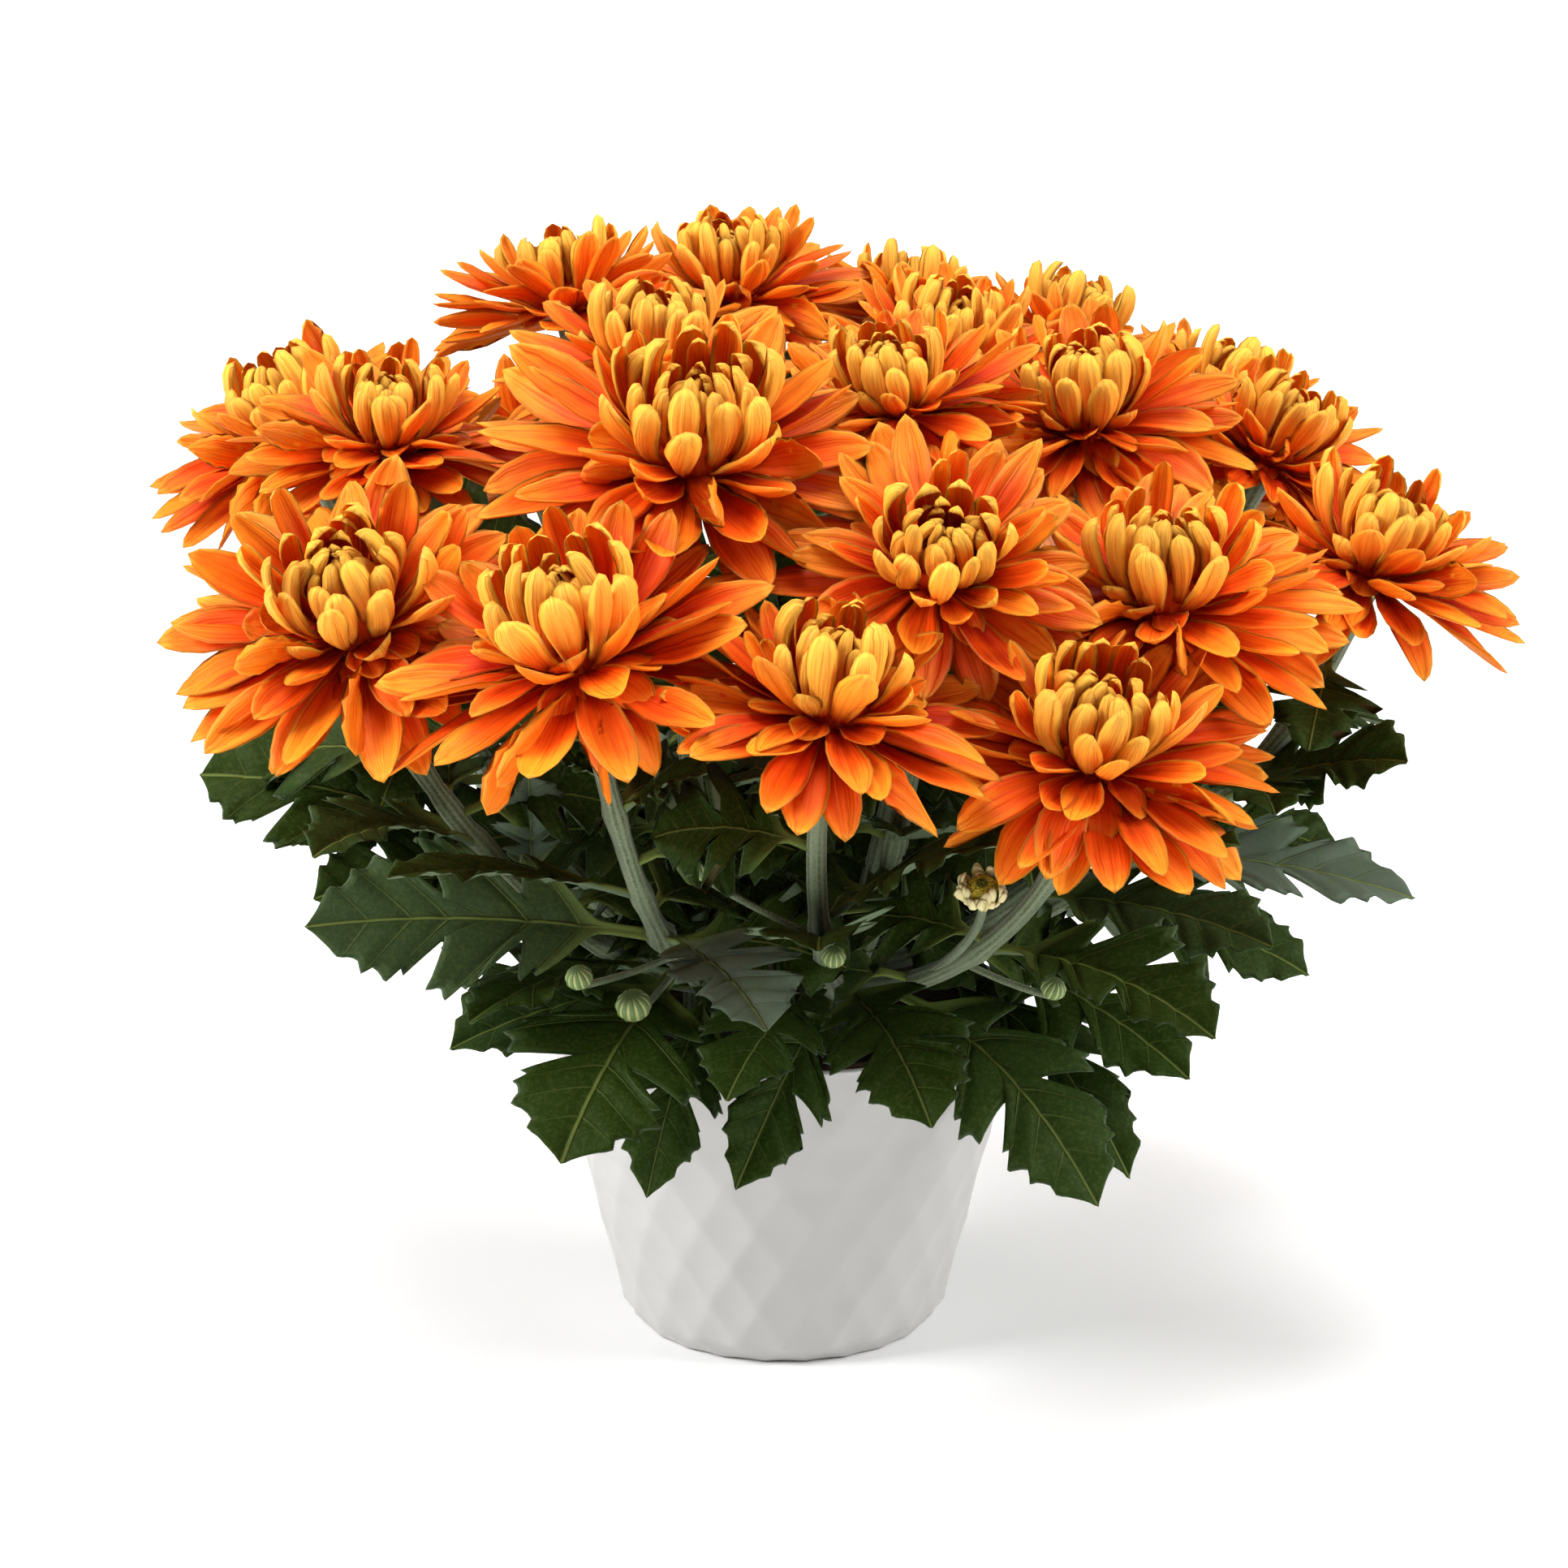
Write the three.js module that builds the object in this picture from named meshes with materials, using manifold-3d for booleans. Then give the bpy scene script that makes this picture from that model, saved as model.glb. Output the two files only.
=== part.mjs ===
// A potted chrysanthemum with large double blooms, in millimetres, +Z up.
// The origin is the centre of the pot's foot, on the surface that it stands on, and -Y is the front.
// Five rooted cuttings stand in a nursery pot of peat, inside a diamond-faceted cover pot. Each
// cutting branches just above the peat, and each branch carries leaves, a few buds and one bloom.

import * as THREE from "three";
import { mergeVertices } from "three/addons/utils/BufferGeometryUtils.js";
import Module from "manifold-3d";

const wasm = await Module();
wasm.setup();

const Vector = THREE.Vector3;
const UP = new Vector(0, 0, 1);
const radians = THREE.MathUtils.degToRad;

// ---- Driving dimensions ----

// Cover pot: rows of lattice points, each row turned half a diamond from the one below.
const POT_RIM_RADIUS = 65;
const POT_FOOT_RADIUS = 42.5;
const POT_HEIGHT = 88.5;
const POT_WALL = 2.2;
const POT_FLOOR = 3;
const DIAMONDS_AROUND = 22;
const DIAMOND_ROWS = 7;
const LOWEST_ROW_HEIGHT = 5.4;
const FOOT_INSET = 3.2;

// Nursery pot, standing on the cover pot's floor, and the peat inside it.
const SEAT_GAP = 0.3;
const NURSERY_RIM_RADIUS = 61.2;
const NURSERY_FOOT_RADIUS = 37.5;
const NURSERY_RIM_HEIGHT = 89;
const NURSERY_WALL = 1.3;
const NURSERY_SIDES = 18;
const DRAIN_HOLE_RADIUS = 4;
const DRAIN_HOLE_CIRCLE = 24;
const DRAIN_HOLES = 4;
const PEAT_HEIGHT = 81;

// Cuttings: a thick stem rooted in a hole in the peat, which branches at its crown.
const ROOT_CIRCLE = 24;
const CROWN_HEIGHT = 97;
const ROOT_DEPTH = 25;
const MAIN_STEM_RADIUS = 4;
const STEM_SIDES = 6;
const BRANCH_RADIUS = 2.4;
const BRANCH_SIDES = 5;
const BRANCH_STEPS = 5;
const PLANTS = [
  { name: "cutting_front_left", toward: -130 },
  { name: "cutting_front_right", toward: -55 },
  { name: "cutting_right", toward: 15 },
  { name: "cutting_back", toward: 90 },
  { name: "cutting_left", toward: 165 },
];

// Blooms: the underside's centre, the width across the open petals, the tilt from upright and the
// side that it tilts to (degrees, -90 is the front), and the number of the cutting that carries it.
const BLOOMS = [
  { at: [-47, -128, 205], across: 90, tilt: 20, toward: -122, plant: 0 },
  { at: [10, -138, 195], across: 79, tilt: 16, toward: -60, plant: 1 },
  { at: [72, -128, 182], across: 80, tilt: 26, toward: -75, plant: 1 },
  { at: [-101, -100, 208], across: 90, tilt: 36, toward: -104, plant: 0 },
  { at: [36, -103, 223], across: 76, tilt: 45, toward: -88, plant: 1 },
  { at: [91, -88, 210], across: 86, tilt: 18, toward: -95, plant: 2 },
  { at: [146, -40, 209], across: 78, tilt: 18, toward: -35, plant: 2 },
  { at: [-23, -75, 243], across: 94, tilt: 28, toward: -78, plant: 0 },
  { at: [-99, -35, 240], across: 72, tilt: 12, toward: -90, plant: 0 },
  { at: [-125, 17, 232], across: 78, tilt: 24, toward: -160, plant: 4 },
  { at: [-58, 67, 260], across: 70, tilt: 14, toward: 130, plant: 4 },
  { at: [-34, 6, 251], across: 78, tilt: 8, toward: -95, plant: 4 },
  { at: [-14, 99, 259], across: 74, tilt: 10, toward: -120, plant: 3 },
  { at: [34, 126, 248], across: 68, tilt: 18, toward: 70, plant: 3 },
  { at: [29, -50, 252], across: 68, tilt: 20, toward: -120, plant: 1 },
  { at: [44, 34, 250], across: 72, tilt: 12, toward: -60, plant: 2 },
  { at: [78, 92, 246], across: 68, tilt: 16, toward: 30, plant: 3 },
  { at: [77, -14, 242], across: 79, tilt: 22, toward: -100, plant: 2 },
  { at: [116, 62, 232], across: 70, tilt: 24, toward: 10, plant: 2 },
  { at: [125, 8, 230], across: 68, tilt: 24, toward: -20, plant: 2 },
  { at: [-112, 88, 207], across: 82, tilt: 38, toward: 145, plant: 4 },
  { at: [-72, 138, 203], across: 84, tilt: 40, toward: 118, plant: 4 },
  { at: [-4, 158, 205], across: 84, tilt: 40, toward: 92, plant: 3 },
  { at: [68, 146, 202], across: 84, tilt: 38, toward: 66, plant: 3 },
  { at: [120, 104, 196], across: 80, tilt: 38, toward: 40, plant: 3 },
];

// A bloom 90 mm across; every other bloom is this one scaled. Its rings of petals grow one above
// another on a solid hub, with a low dome of young florets on top.
const PATTERN_ACROSS = 90;
const PETALS_IN_RING = 7;
const SEAT_RADIUS = 5.5;
const DOME_HEIGHT = 22;
// Each ring: how far it is turned, how high on the hub and at what radius its petals part, their
// slopes at the root and at the tip, their length, half their width, the depth of the channel, and
// the place along the petal where it is widest.
const PETAL_RINGS = [
  { turn: 0, root: 3, part: 11.5, slopes: [4, -20], long: 34, half: 7.4, cup: 2.2, widest: 0.62 },
  { turn: 29, root: 5.4, part: 11.5, slopes: [24, 4], long: 31.5, half: 7, cup: 2.6, widest: 0.6 },
  { turn: 3, root: 7.9, part: 11, slopes: [46, 32], long: 27, half: 6.2, cup: 2.6, widest: 0.6 },
  { turn: 31, root: 10.6, part: 10, slopes: [68, 142], long: 22, half: 5, cup: 2, widest: 0.5 },
];
const PETAL_THICK = 1.5;
const GOLDEN_ANGLE = 137.5;
// Blooms farther back than this have one ring fewer.
const FULL_BLOOMS_TO = 60;

// A petal that would cross something bends up from it, or is shorter, whichever asks less of it.
const BENDS = [0, 8, 16, 24, 32, 40, 50, 60];
const SHARES = [1, 0.88, 0.76, 0.64, 0.52];
const BEND_COST = 0.012;
const BLOOM_GAP = 1.6;
const STEM_GAP = 1.2;
const BLOOM_MIDDLE = 9;

// Leaves: the bloom whose branch carries it (counted from 1), how far along that branch, the tip,
// the way that its upper side faces, half its width, and how far it arches.
const LEAVES = [
  // front left
  { on: 1, share: 0.36, tip: [-117, -95, 136], face: [0.1, -0.85, 0.5], half: 20, arch: 5 },
  { on: 4, share: 0.55, tip: [-146, -60, 170], face: [0, -0.4, 0.9], half: 20, arch: 5 },
  { on: 4, share: 0.52, tip: [-110, -122, 164], face: [-0.2, -0.2, 0.95], half: 14, arch: 8 },
  { on: 4, share: 0.72, tip: [-120, -10, 155], face: [-0.1, -0.3, 0.9], half: 15, arch: 6 },
  { on: 1, share: 0.5, tip: [-93, -135, 160], face: [-0.1, -0.15, 0.95], half: 12, arch: 4 },
  { on: 1, share: 0.12, tip: [-77, -103, 114], face: [-0.3, -0.3, 0.9], half: 16, arch: 9 },
  { on: 1, share: 0.22, tip: [-54, -118, 83], face: [-0.2, -0.9, 0.4], half: 25, arch: 8 },
  { on: 1, share: 0.06, tip: [-34, -98, 67], face: [0, -0.95, 0.3], half: 13, arch: 10 },
  { on: 2, share: 0.04, tip: [-12, -95, 68], face: [0.2, -0.9, 0.3], half: 14, arch: 10 },
  { on: 2, share: 0.2, tip: [-14, -118, 99], face: [-0.3, -0.8, 0.4], half: 16, arch: 7 },
  { on: 1, share: 0.36, tip: [-4, -122, 118], face: [0.4, -0.8, 0.4], half: 18, arch: 6 },
  { on: 1, share: 0.72, tip: [-18, -130, 184], face: [0.1, -0.5, 0.85], half: 8, arch: 3 },
  { on: 4, share: 0.4, tip: [-63, -75, 169], face: [0.3, -0.9, 0.1], half: 10, arch: 3 },
  // front right
  { on: 2, share: 0.5, tip: [50, -150, 172], face: [0, -0.35, 0.95], half: 17, arch: 5 },
  { on: 2, share: 0.34, tip: [8, -142, 144], face: [-0.1, -0.6, 0.8], half: 18, arch: 6 },
  { on: 2, share: 0.12, tip: [36, -112, 90], face: [0.1, -0.85, 0.5], half: 19, arch: 10 },
  { on: 3, share: 0.12, tip: [78, -96, 64], face: [0.25, -0.9, 0.35], half: 19, arch: 13 },
  { on: 6, share: 0.08, tip: [88, -70, 62], face: [0.5, -0.8, 0.3], half: 15, arch: 13 },
  { on: 6, share: 0.16, tip: [103, -65, 87], face: [0.3, -0.7, 0.6], half: 18, arch: 7 },
  { on: 3, share: 0.42, tip: [103, -125, 117], face: [0.2, -0.5, 0.85], half: 18, arch: 7 },
  { on: 6, share: 0.36, tip: [120, -92, 130], face: [0, -0.6, 0.8], half: 16, arch: 5 },
  { on: 7, share: 0.25, tip: [137, -30, 104], face: [0.3, -0.5, 0.85], half: 19, arch: 7 },
  { on: 6, share: 0.48, tip: [159, -62, 134], face: [0.1, -0.4, 0.9], half: 16, arch: 6 },
  { on: 7, share: 0.45, tip: [145, -20, 135], face: [0.1, -0.5, 0.85], half: 15, arch: 5 },
  { on: 7, share: 0.55, tip: [156, -60, 169], face: [0.1, -0.6, 0.8], half: 18, arch: 5 },
  { on: 7, share: 0.72, tip: [158, 0, 165], face: [0, -0.5, 0.85], half: 13, arch: 4 },
  { on: 3, share: 0.72, tip: [106, -140, 169], face: [0, -0.3, 0.95], half: 11, arch: 4 },
  // among the stems
  { on: 8, share: 0.5, tip: [-55, -50, 153], face: [-0.1, -0.8, 0.6], half: 15, arch: 4 },
  { on: 8, share: 0.4, tip: [-18, -75, 142], face: [0.3, -0.9, 0.3], half: 15, arch: 4 },
  { on: 5, share: 0.45, tip: [29, -80, 155], face: [0.1, -0.8, 0.6], half: 16, arch: 4 },
  { on: 18, share: 0.42, tip: [62, -76, 140], face: [0.2, -0.8, 0.6], half: 16, arch: 4 },
  { on: 12, share: 0.6, tip: [-42, -30, 166], face: [-0.1, -0.8, 0.6], half: 16, arch: 4 },
  { on: 6, share: 0.6, tip: [99, -60, 160], face: [0.1, -0.8, 0.6], half: 14, arch: 4 },
  { on: 4, share: 0.62, tip: [-84, -46, 172], face: [-0.1, -0.7, 0.7], half: 13, arch: 4 },
  { on: 15, share: 0.5, tip: [6, -58, 168], face: [0, -0.8, 0.6], half: 14, arch: 4 },
  { on: 12, share: 0.48, tip: [-14, -22, 160], face: [0.1, -0.8, 0.6], half: 16, arch: 5 },
  { on: 16, share: 0.5, tip: [56, -12, 160], face: [0, -0.8, 0.6], half: 16, arch: 5 },
  // right and back
  { on: 19, share: 0.3, tip: [128, 30, 108], face: [0.6, 0.1, 0.8], half: 20, arch: 8 },
  { on: 19, share: 0.5, tip: [156, 52, 150], face: [0.3, 0.2, 0.9], half: 19, arch: 6 },
  { on: 25, share: 0.2, tip: [98, 62, 84], face: [0.7, 0.4, 0.5], half: 21, arch: 9 },
  { on: 25, share: 0.45, tip: [128, 116, 128], face: [0.5, 0.5, 0.75], half: 20, arch: 7 },
  { on: 24, share: 0.2, tip: [56, 98, 76], face: [0.4, 0.8, 0.4], half: 22, arch: 9 },
  { on: 24, share: 0.45, tip: [86, 146, 126], face: [0.4, 0.6, 0.75], half: 20, arch: 7 },
  { on: 23, share: 0.18, tip: [8, 104, 70], face: [0, 0.9, 0.4], half: 20, arch: 9 },
  { on: 23, share: 0.42, tip: [20, 160, 122], face: [0.1, 0.7, 0.7], half: 21, arch: 7 },
  { on: 22, share: 0.2, tip: [-44, 96, 76], face: [-0.3, 0.85, 0.4], half: 21, arch: 9 },
  { on: 22, share: 0.42, tip: [-50, 150, 126], face: [-0.3, 0.6, 0.75], half: 20, arch: 7 },
  { on: 21, share: 0.22, tip: [-92, 62, 80], face: [-0.6, 0.6, 0.5], half: 21, arch: 9 },
  { on: 21, share: 0.45, tip: [-118, 112, 130], face: [-0.5, 0.5, 0.75], half: 20, arch: 7 },
  { on: 10, share: 0.3, tip: [-118, 24, 104], face: [-0.7, 0, 0.7], half: 20, arch: 8 },
  { on: 10, share: 0.6, tip: [-158, 20, 182], face: [-0.3, 0, 0.95], half: 16, arch: 5 },
  { on: 10, share: 0.42, tip: [-142, 52, 146], face: [-0.4, 0.2, 0.85], half: 18, arch: 6 },
  { on: 4, share: 0.25, tip: [-104, -30, 116], face: [-0.5, -0.3, 0.8], half: 19, arch: 8 },
];
const LEAF_THICK = 0.8;
const LEAF_FOLD = 0.22;
// One side of the blade, petiole end to tip: the share of the length, and the share of half the
// width. Deep notches cut it into two blunt lobes on each side and one at the tip.
const LEAF_SIDE = [
  [0.2, 0.11],
  [0.3, 0.58],
  [0.4, 0.64],
  [0.44, 0.32],
  [0.55, 1],
  [0.67, 0.88],
  [0.7, 0.4],
  [0.84, 0.62],
];
const MIDRIB_STOPS = [0.3, 0.64];

// Side buds: the bloom whose branch carries it, how far along, the bud's centre and its radius.
const BUDS = [
  { on: 1, share: 0.28, at: [-50, -98, 124], radius: 3.4 },
  { on: 1, share: 0.24, at: [-37, -92, 115], radius: 4.4 },
  { on: 2, share: 0.45, at: [-20, -104, 153], radius: 3.2 },
  { on: 2, share: 0.36, at: [12, -104, 131], radius: 3 },
  { on: 3, share: 0.36, at: [66, -94, 120], radius: 3.2 },
];
const BUD_STALK_RADIUS = 1;

// The one side bud that is opening: a cup of short florets round a domed disc, on its own stalk.
const OPENING_BUD = { on: 3, share: 0.24, at: [50, -104, 145], across: 12, tilt: 35, toward: -95 };
const OPENING_FLORETS = 9;

// ---- Closed solids ----

// A closed geometry as a solid, turned to face outwards if it doesn't.
function solid(geometry) {
  const bare = geometry.index ? geometry.toNonIndexed() : geometry.clone();
  for (const name of Object.keys(bare.attributes)) {
    if (name !== "position") bare.deleteAttribute(name);
  }
  const merged = mergeVertices(bare, 1e-4);
  const points = merged.attributes.position.array;
  const corners = new Uint32Array(merged.index.array);
  let six = 0;
  const [a, b, c] = [new Vector(), new Vector(), new Vector()];
  for (let i = 0; i < corners.length; i += 3) {
    a.fromArray(points, corners[i] * 3);
    b.fromArray(points, corners[i + 1] * 3);
    c.fromArray(points, corners[i + 2] * 3);
    six += a.dot(b.cross(c));
  }
  if (six < 0) {
    for (let i = 0; i < corners.length; i += 3) {
      [corners[i + 1], corners[i + 2]] = [corners[i + 2], corners[i + 1]];
    }
  }
  const kept = [];
  for (let i = 0; i < corners.length; i += 3) {
    const [p, q, r] = corners.subarray(i, i + 3);
    if (p !== q && q !== r && r !== p) kept.push(p, q, r);
  }
  return new wasm.Manifold(
    new wasm.Mesh({ numProp: 3, vertProperties: points, triVerts: new Uint32Array(kept) }),
  );
}

// A named mesh from a solid, in its own material.
function meshOf(name, made, material) {
  const data = made.getMesh();
  const points = new Float32Array(data.numVert * 3);
  for (let i = 0; i < data.numVert; i++) {
    points.set(data.vertProperties.subarray(i * data.numProp, i * data.numProp + 3), i * 3);
  }
  const geometry = new THREE.BufferGeometry();
  geometry.setAttribute("position", new THREE.BufferAttribute(points, 3));
  geometry.setIndex(new THREE.BufferAttribute(data.triVerts, 1));
  geometry.computeVertexNormals();
  const mesh = new THREE.Mesh(geometry, material);
  mesh.name = name;
  return mesh;
}

// The largest body of a solid: a crossing can leave a loose scrap, which is dropped.
function wholeBody(made) {
  const bodies = made.decompose().sort((p, q) => q.volume() - p.volume());
  return bodies[0];
}

const joined = (solids) => solids.reduce((sum, s) => sum.add(s));

// A closed skin through rings of points of equal number. A ring of one point closes to a tip.
function loft(rings) {
  const points = rings.flat();
  const corners = [];
  const starts = rings.map((_, i) => rings.slice(0, i).flat().length);
  for (let i = 0; i + 1 < rings.length; i++) {
    const n = rings[i].length;
    const m = rings[i + 1].length;
    for (let j = 0; j < n; j++) {
      const k = (j + 1) % n;
      const [p, q] = [starts[i] + j, starts[i] + k];
      const [r, s] = [starts[i + 1] + (j % m), starts[i + 1] + (k % m)];
      corners.push(p, q, s);
      if (m > 1) corners.push(p, s, r);
    }
  }
  for (let j = 1; j + 1 < rings[0].length; j++) corners.push(0, j + 1, j);
  const last = starts[rings.length - 1];
  for (let j = 1; j + 1 < rings.at(-1).length; j++) corners.push(last, last + j, last + j + 1);
  const geometry = new THREE.BufferGeometry().setFromPoints(points);
  geometry.setIndex(corners);
  return geometry;
}

// A turned shape about Z from [radius, height] pairs that start and end on the axis.
function turned(profile, sides) {
  const outline = profile.map(([r, z]) => new THREE.Vector2(r, z));
  return new THREE.LatheGeometry(outline, sides).rotateX(Math.PI / 2);
}

function regular(radius, sides) {
  const shape = new THREE.Shape();
  for (let i = 0; i < sides; i++) {
    const a = (i / sides) * 2 * Math.PI;
    if (i) shape.lineTo(radius * Math.cos(a), radius * Math.sin(a));
    else shape.moveTo(radius * Math.cos(a), radius * Math.sin(a));
  }
  shape.closePath();
  return shape;
}

function tube(curve, radius, sides, steps) {
  return new THREE.ExtrudeGeometry(regular(radius, sides), { steps, extrudePath: curve });
}

const around = (radius, degrees, z) =>
  new Vector(radius * Math.cos(radians(degrees)), radius * Math.sin(radians(degrees)), z);

// The unit vector that leans by tilt degrees from upright, to the side given in degrees.
const leaning = (tilt, toward) =>
  around(Math.sin(radians(tilt)), toward, Math.cos(radians(tilt)));

// ---- The pots and the peat ----

const potRadius = (z) =>
  THREE.MathUtils.mapLinear(z, 0, POT_HEIGHT, POT_FOOT_RADIUS, POT_RIM_RADIUS);

function coverPot() {
  const pitch = 360 / DIAMONDS_AROUND;
  const ring = (radius, z, turn) =>
    Array.from({ length: DIAMONDS_AROUND }, (_, i) => around(radius, (i + turn) * pitch, z));
  const outside = [ring(POT_FOOT_RADIUS - FOOT_INSET, 0, 0)];
  const rise = (POT_HEIGHT - LOWEST_ROW_HEIGHT) / DIAMOND_ROWS;
  for (let row = 0; row <= DIAMOND_ROWS; row++) {
    const z = LOWEST_ROW_HEIGHT + row * rise;
    outside.push(ring(potRadius(z), z, (row + 1) / 2));
  }
  const inside = [
    ring(potRadius(POT_HEIGHT) - POT_WALL, POT_HEIGHT, (DIAMOND_ROWS + 1) / 2),
    ring(potRadius(POT_FLOOR) - POT_WALL, POT_FLOOR, (DIAMOND_ROWS + 1) / 2),
  ];
  return solid(loft([...outside, ...inside]));
}

const nurseryRadius = (z) =>
  THREE.MathUtils.mapLinear(
    z, POT_FLOOR, NURSERY_RIM_HEIGHT, NURSERY_FOOT_RADIUS, NURSERY_RIM_RADIUS,
  );

function nurseryPot() {
  const foot = POT_FLOOR + SEAT_GAP;
  const floor = foot + NURSERY_WALL;
  let made = solid(
    turned(
      [
        [0, foot],
        [nurseryRadius(foot), foot],
        [nurseryRadius(NURSERY_RIM_HEIGHT), NURSERY_RIM_HEIGHT],
        [nurseryRadius(NURSERY_RIM_HEIGHT) - NURSERY_WALL, NURSERY_RIM_HEIGHT],
        [nurseryRadius(floor) - NURSERY_WALL, floor],
        [0, floor],
      ],
      NURSERY_SIDES,
    ),
  );
  for (let i = 0; i < DRAIN_HOLES; i++) {
    const hole = new THREE.CylinderGeometry(DRAIN_HOLE_RADIUS, DRAIN_HOLE_RADIUS, 8, 6);
    const at = around(DRAIN_HOLE_CIRCLE, (i * 360) / DRAIN_HOLES, foot);
    made = made.subtract(solid(hole.rotateX(Math.PI / 2).translate(...at)));
  }
  return made;
}

function peat() {
  const bottom = POT_FLOOR + 2 * SEAT_GAP + NURSERY_WALL;
  const inside = (z) => nurseryRadius(z) - NURSERY_WALL - 2 * SEAT_GAP;
  const dome = PEAT_HEIGHT + 2;
  let made = solid(
    turned(
      [
        [0, bottom],
        [inside(bottom), bottom],
        [inside(PEAT_HEIGHT), PEAT_HEIGHT],
        [inside(PEAT_HEIGHT) * 0.5, dome],
        [0, dome],
      ],
      NURSERY_SIDES,
    ),
  );
  for (const { toward } of PLANTS) {
    const radius = MAIN_STEM_RADIUS + SEAT_GAP;
    const depth = ROOT_DEPTH + SEAT_GAP;
    const hole = new THREE.CylinderGeometry(radius, radius, 2 * depth, STEM_SIDES);
    const at = around(ROOT_CIRCLE, toward, PEAT_HEIGHT);
    made = made.subtract(solid(hole.rotateX(Math.PI / 2).translate(...at)));
  }
  return made;
}

// ---- Branches ----

const blooms = BLOOMS.map((row) => ({
  ...row,
  base: new Vector(...row.at),
  axis: leaning(row.tilt, row.toward),
  size: row.across / PATTERN_ACROSS,
}));

// A branch leaves its crown low and outward, and arrives under its bloom along the bloom's axis.
function branchOf({ base, axis, plant }) {
  const start = around(ROOT_CIRCLE, PLANTS[plant].toward, CROWN_HEIGHT);
  const end = base.clone().addScaledVector(axis, -SEAT_GAP);
  const rise = end.z - start.z;
  const outward = end.clone().sub(start).setZ(0);
  const first = start.clone().addScaledVector(outward, 0.55).addScaledVector(UP, 0.2 * rise);
  const second = end.clone().addScaledVector(axis, -0.45 * rise);
  return new THREE.CubicBezierCurve3(start, first, second, end);
}

for (const bloom of blooms) {
  bloom.branch = branchOf(bloom);
  bloom.branchPoints = bloom.branch.getPoints(24);
  bloom.middle = bloom.base.clone().addScaledVector(bloom.axis, BLOOM_MIDDLE * bloom.size);
}

// ---- Petals ----

// The planes that part each bloom from its neighbours, nearer to the smaller one.
function wallsOf(bloom) {
  const walls = [];
  for (const other of blooms) {
    if (other === bloom) continue;
    const normal = other.middle.clone().sub(bloom.middle);
    const apart = normal.length();
    if (apart > (bloom.across + other.across) / 2) continue;
    const share = bloom.across / (bloom.across + other.across);
    walls.push({ normal: normal.normalize(), reach: apart * share - BLOOM_GAP / 2 });
  }
  return walls;
}

const TRIES = SHARES.flatMap((share) => BENDS.map((bend) => ({ share, bend })))
  .sort((p, q) => p.bend * BEND_COST - p.share - (q.bend * BEND_COST - q.share));

// The point of a bloom's hub at this radius, height and angle round it.
function hubPoint({ base, axis, size }, radius, height, degrees) {
  const side = new Vector(1, 0, 0).projectOnPlane(axis).normalize();
  return base.clone()
    .addScaledVector(side.applyAxisAngle(axis, radians(degrees)), size * radius)
    .addScaledVector(axis, size * height);
}

// The upper and the lower point, a petal's thickness apart.
const pairAt = (point, normal) =>
  [0.5, -0.5].map((side) => point.clone().addScaledVector(normal, side * PETAL_THICK));

// The two points where neighbouring petals part, on either side of the petal at this angle.
const partings = (bloom, ring, degrees) =>
  [-0.5, 0.5].map((side) => {
    const angle = degrees + (side * 360) / PETALS_IN_RING;
    return pairAt(hubPoint(bloom, ring.part, ring.root, angle), bloom.axis);
  });

// One petal's corners. Its middle line turns evenly from the first slope to the second. The keel is
// lower than the edges, so the channel faces the bloom's axis.
function petalPoints(bloom, ring, degrees, { share, bend }) {
  const { axis, size } = bloom;
  const root = hubPoint(bloom, ring.part, ring.root, degrees);
  const out = hubPoint(bloom, 1, 0, degrees).sub(bloom.base).normalize();
  const across = new Vector().crossVectors(axis, out);
  const [low, high] = ring.slopes.map((s) => radians(s + bend));
  const radius = (size * ring.long * share) / (high - low);
  const along = (slope) => root.clone()
    .addScaledVector(out, radius * (Math.sin(slope) - Math.sin(low)))
    .addScaledVector(axis, radius * (Math.cos(low) - Math.cos(slope)));
  const slope = low + (high - low) * ring.widest;
  const inward = axis.clone().multiplyScalar(Math.cos(slope)).addScaledVector(out, -Math.sin(slope));
  const middle = along(slope);
  const edge = (sign) => middle.clone().addScaledVector(across, sign * size * ring.half);
  return {
    keel: pairAt(middle.clone().addScaledVector(inward, -size * ring.cup), inward),
    right: edge(-1),
    left: edge(1),
    tip: along(high),
  };
}

// A petal's triangles between the partings before and after it, alike on both faces.
function petalFaces({ keel, right, left, tip }, [before, after]) {
  const [faces, [k, K], [b, B], [a, A]] = [[], keel, before, after];
  faces.push([k, a, b], [k, left, a], [k, tip, left], [k, right, tip], [k, b, right]);
  faces.push([K, B, A], [K, A, left], [K, left, tip], [K, tip, right], [K, right, B]);
  faces.push([B, right, b], [left, A, a]);
  return faces;
}

function solidOf(faces) {
  const geometry = new THREE.BufferGeometry().setFromPoints(faces.flat());
  return solid(geometry);
}

const distanceToBranch = (point, branchPoints) =>
  Math.min(...branchPoints.map((p) => p.distanceTo(point)));

// True where a petal is on its own side of the walls and off the other blooms' branches.
function isClear({ keel, right, left, tip }, bloom, walls) {
  const corners = [...keel, right, left, tip];
  if (corners.some((p) => walls.some((w) => p.clone().sub(bloom.middle).dot(w.normal) > w.reach))) {
    return false;
  }
  const spine = [keel[0], tip, tip.clone().add(keel[0]).multiplyScalar(0.5)];
  const others = blooms.filter((b) => b !== bloom && b.base.distanceTo(bloom.base) < 150);
  return !others.some((b) =>
    [...corners, ...spine].some(
      (p) => distanceToBranch(p, b.branchPoints) < BRANCH_RADIUS + STEM_GAP + 1,
    ),
  );
}

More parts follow.
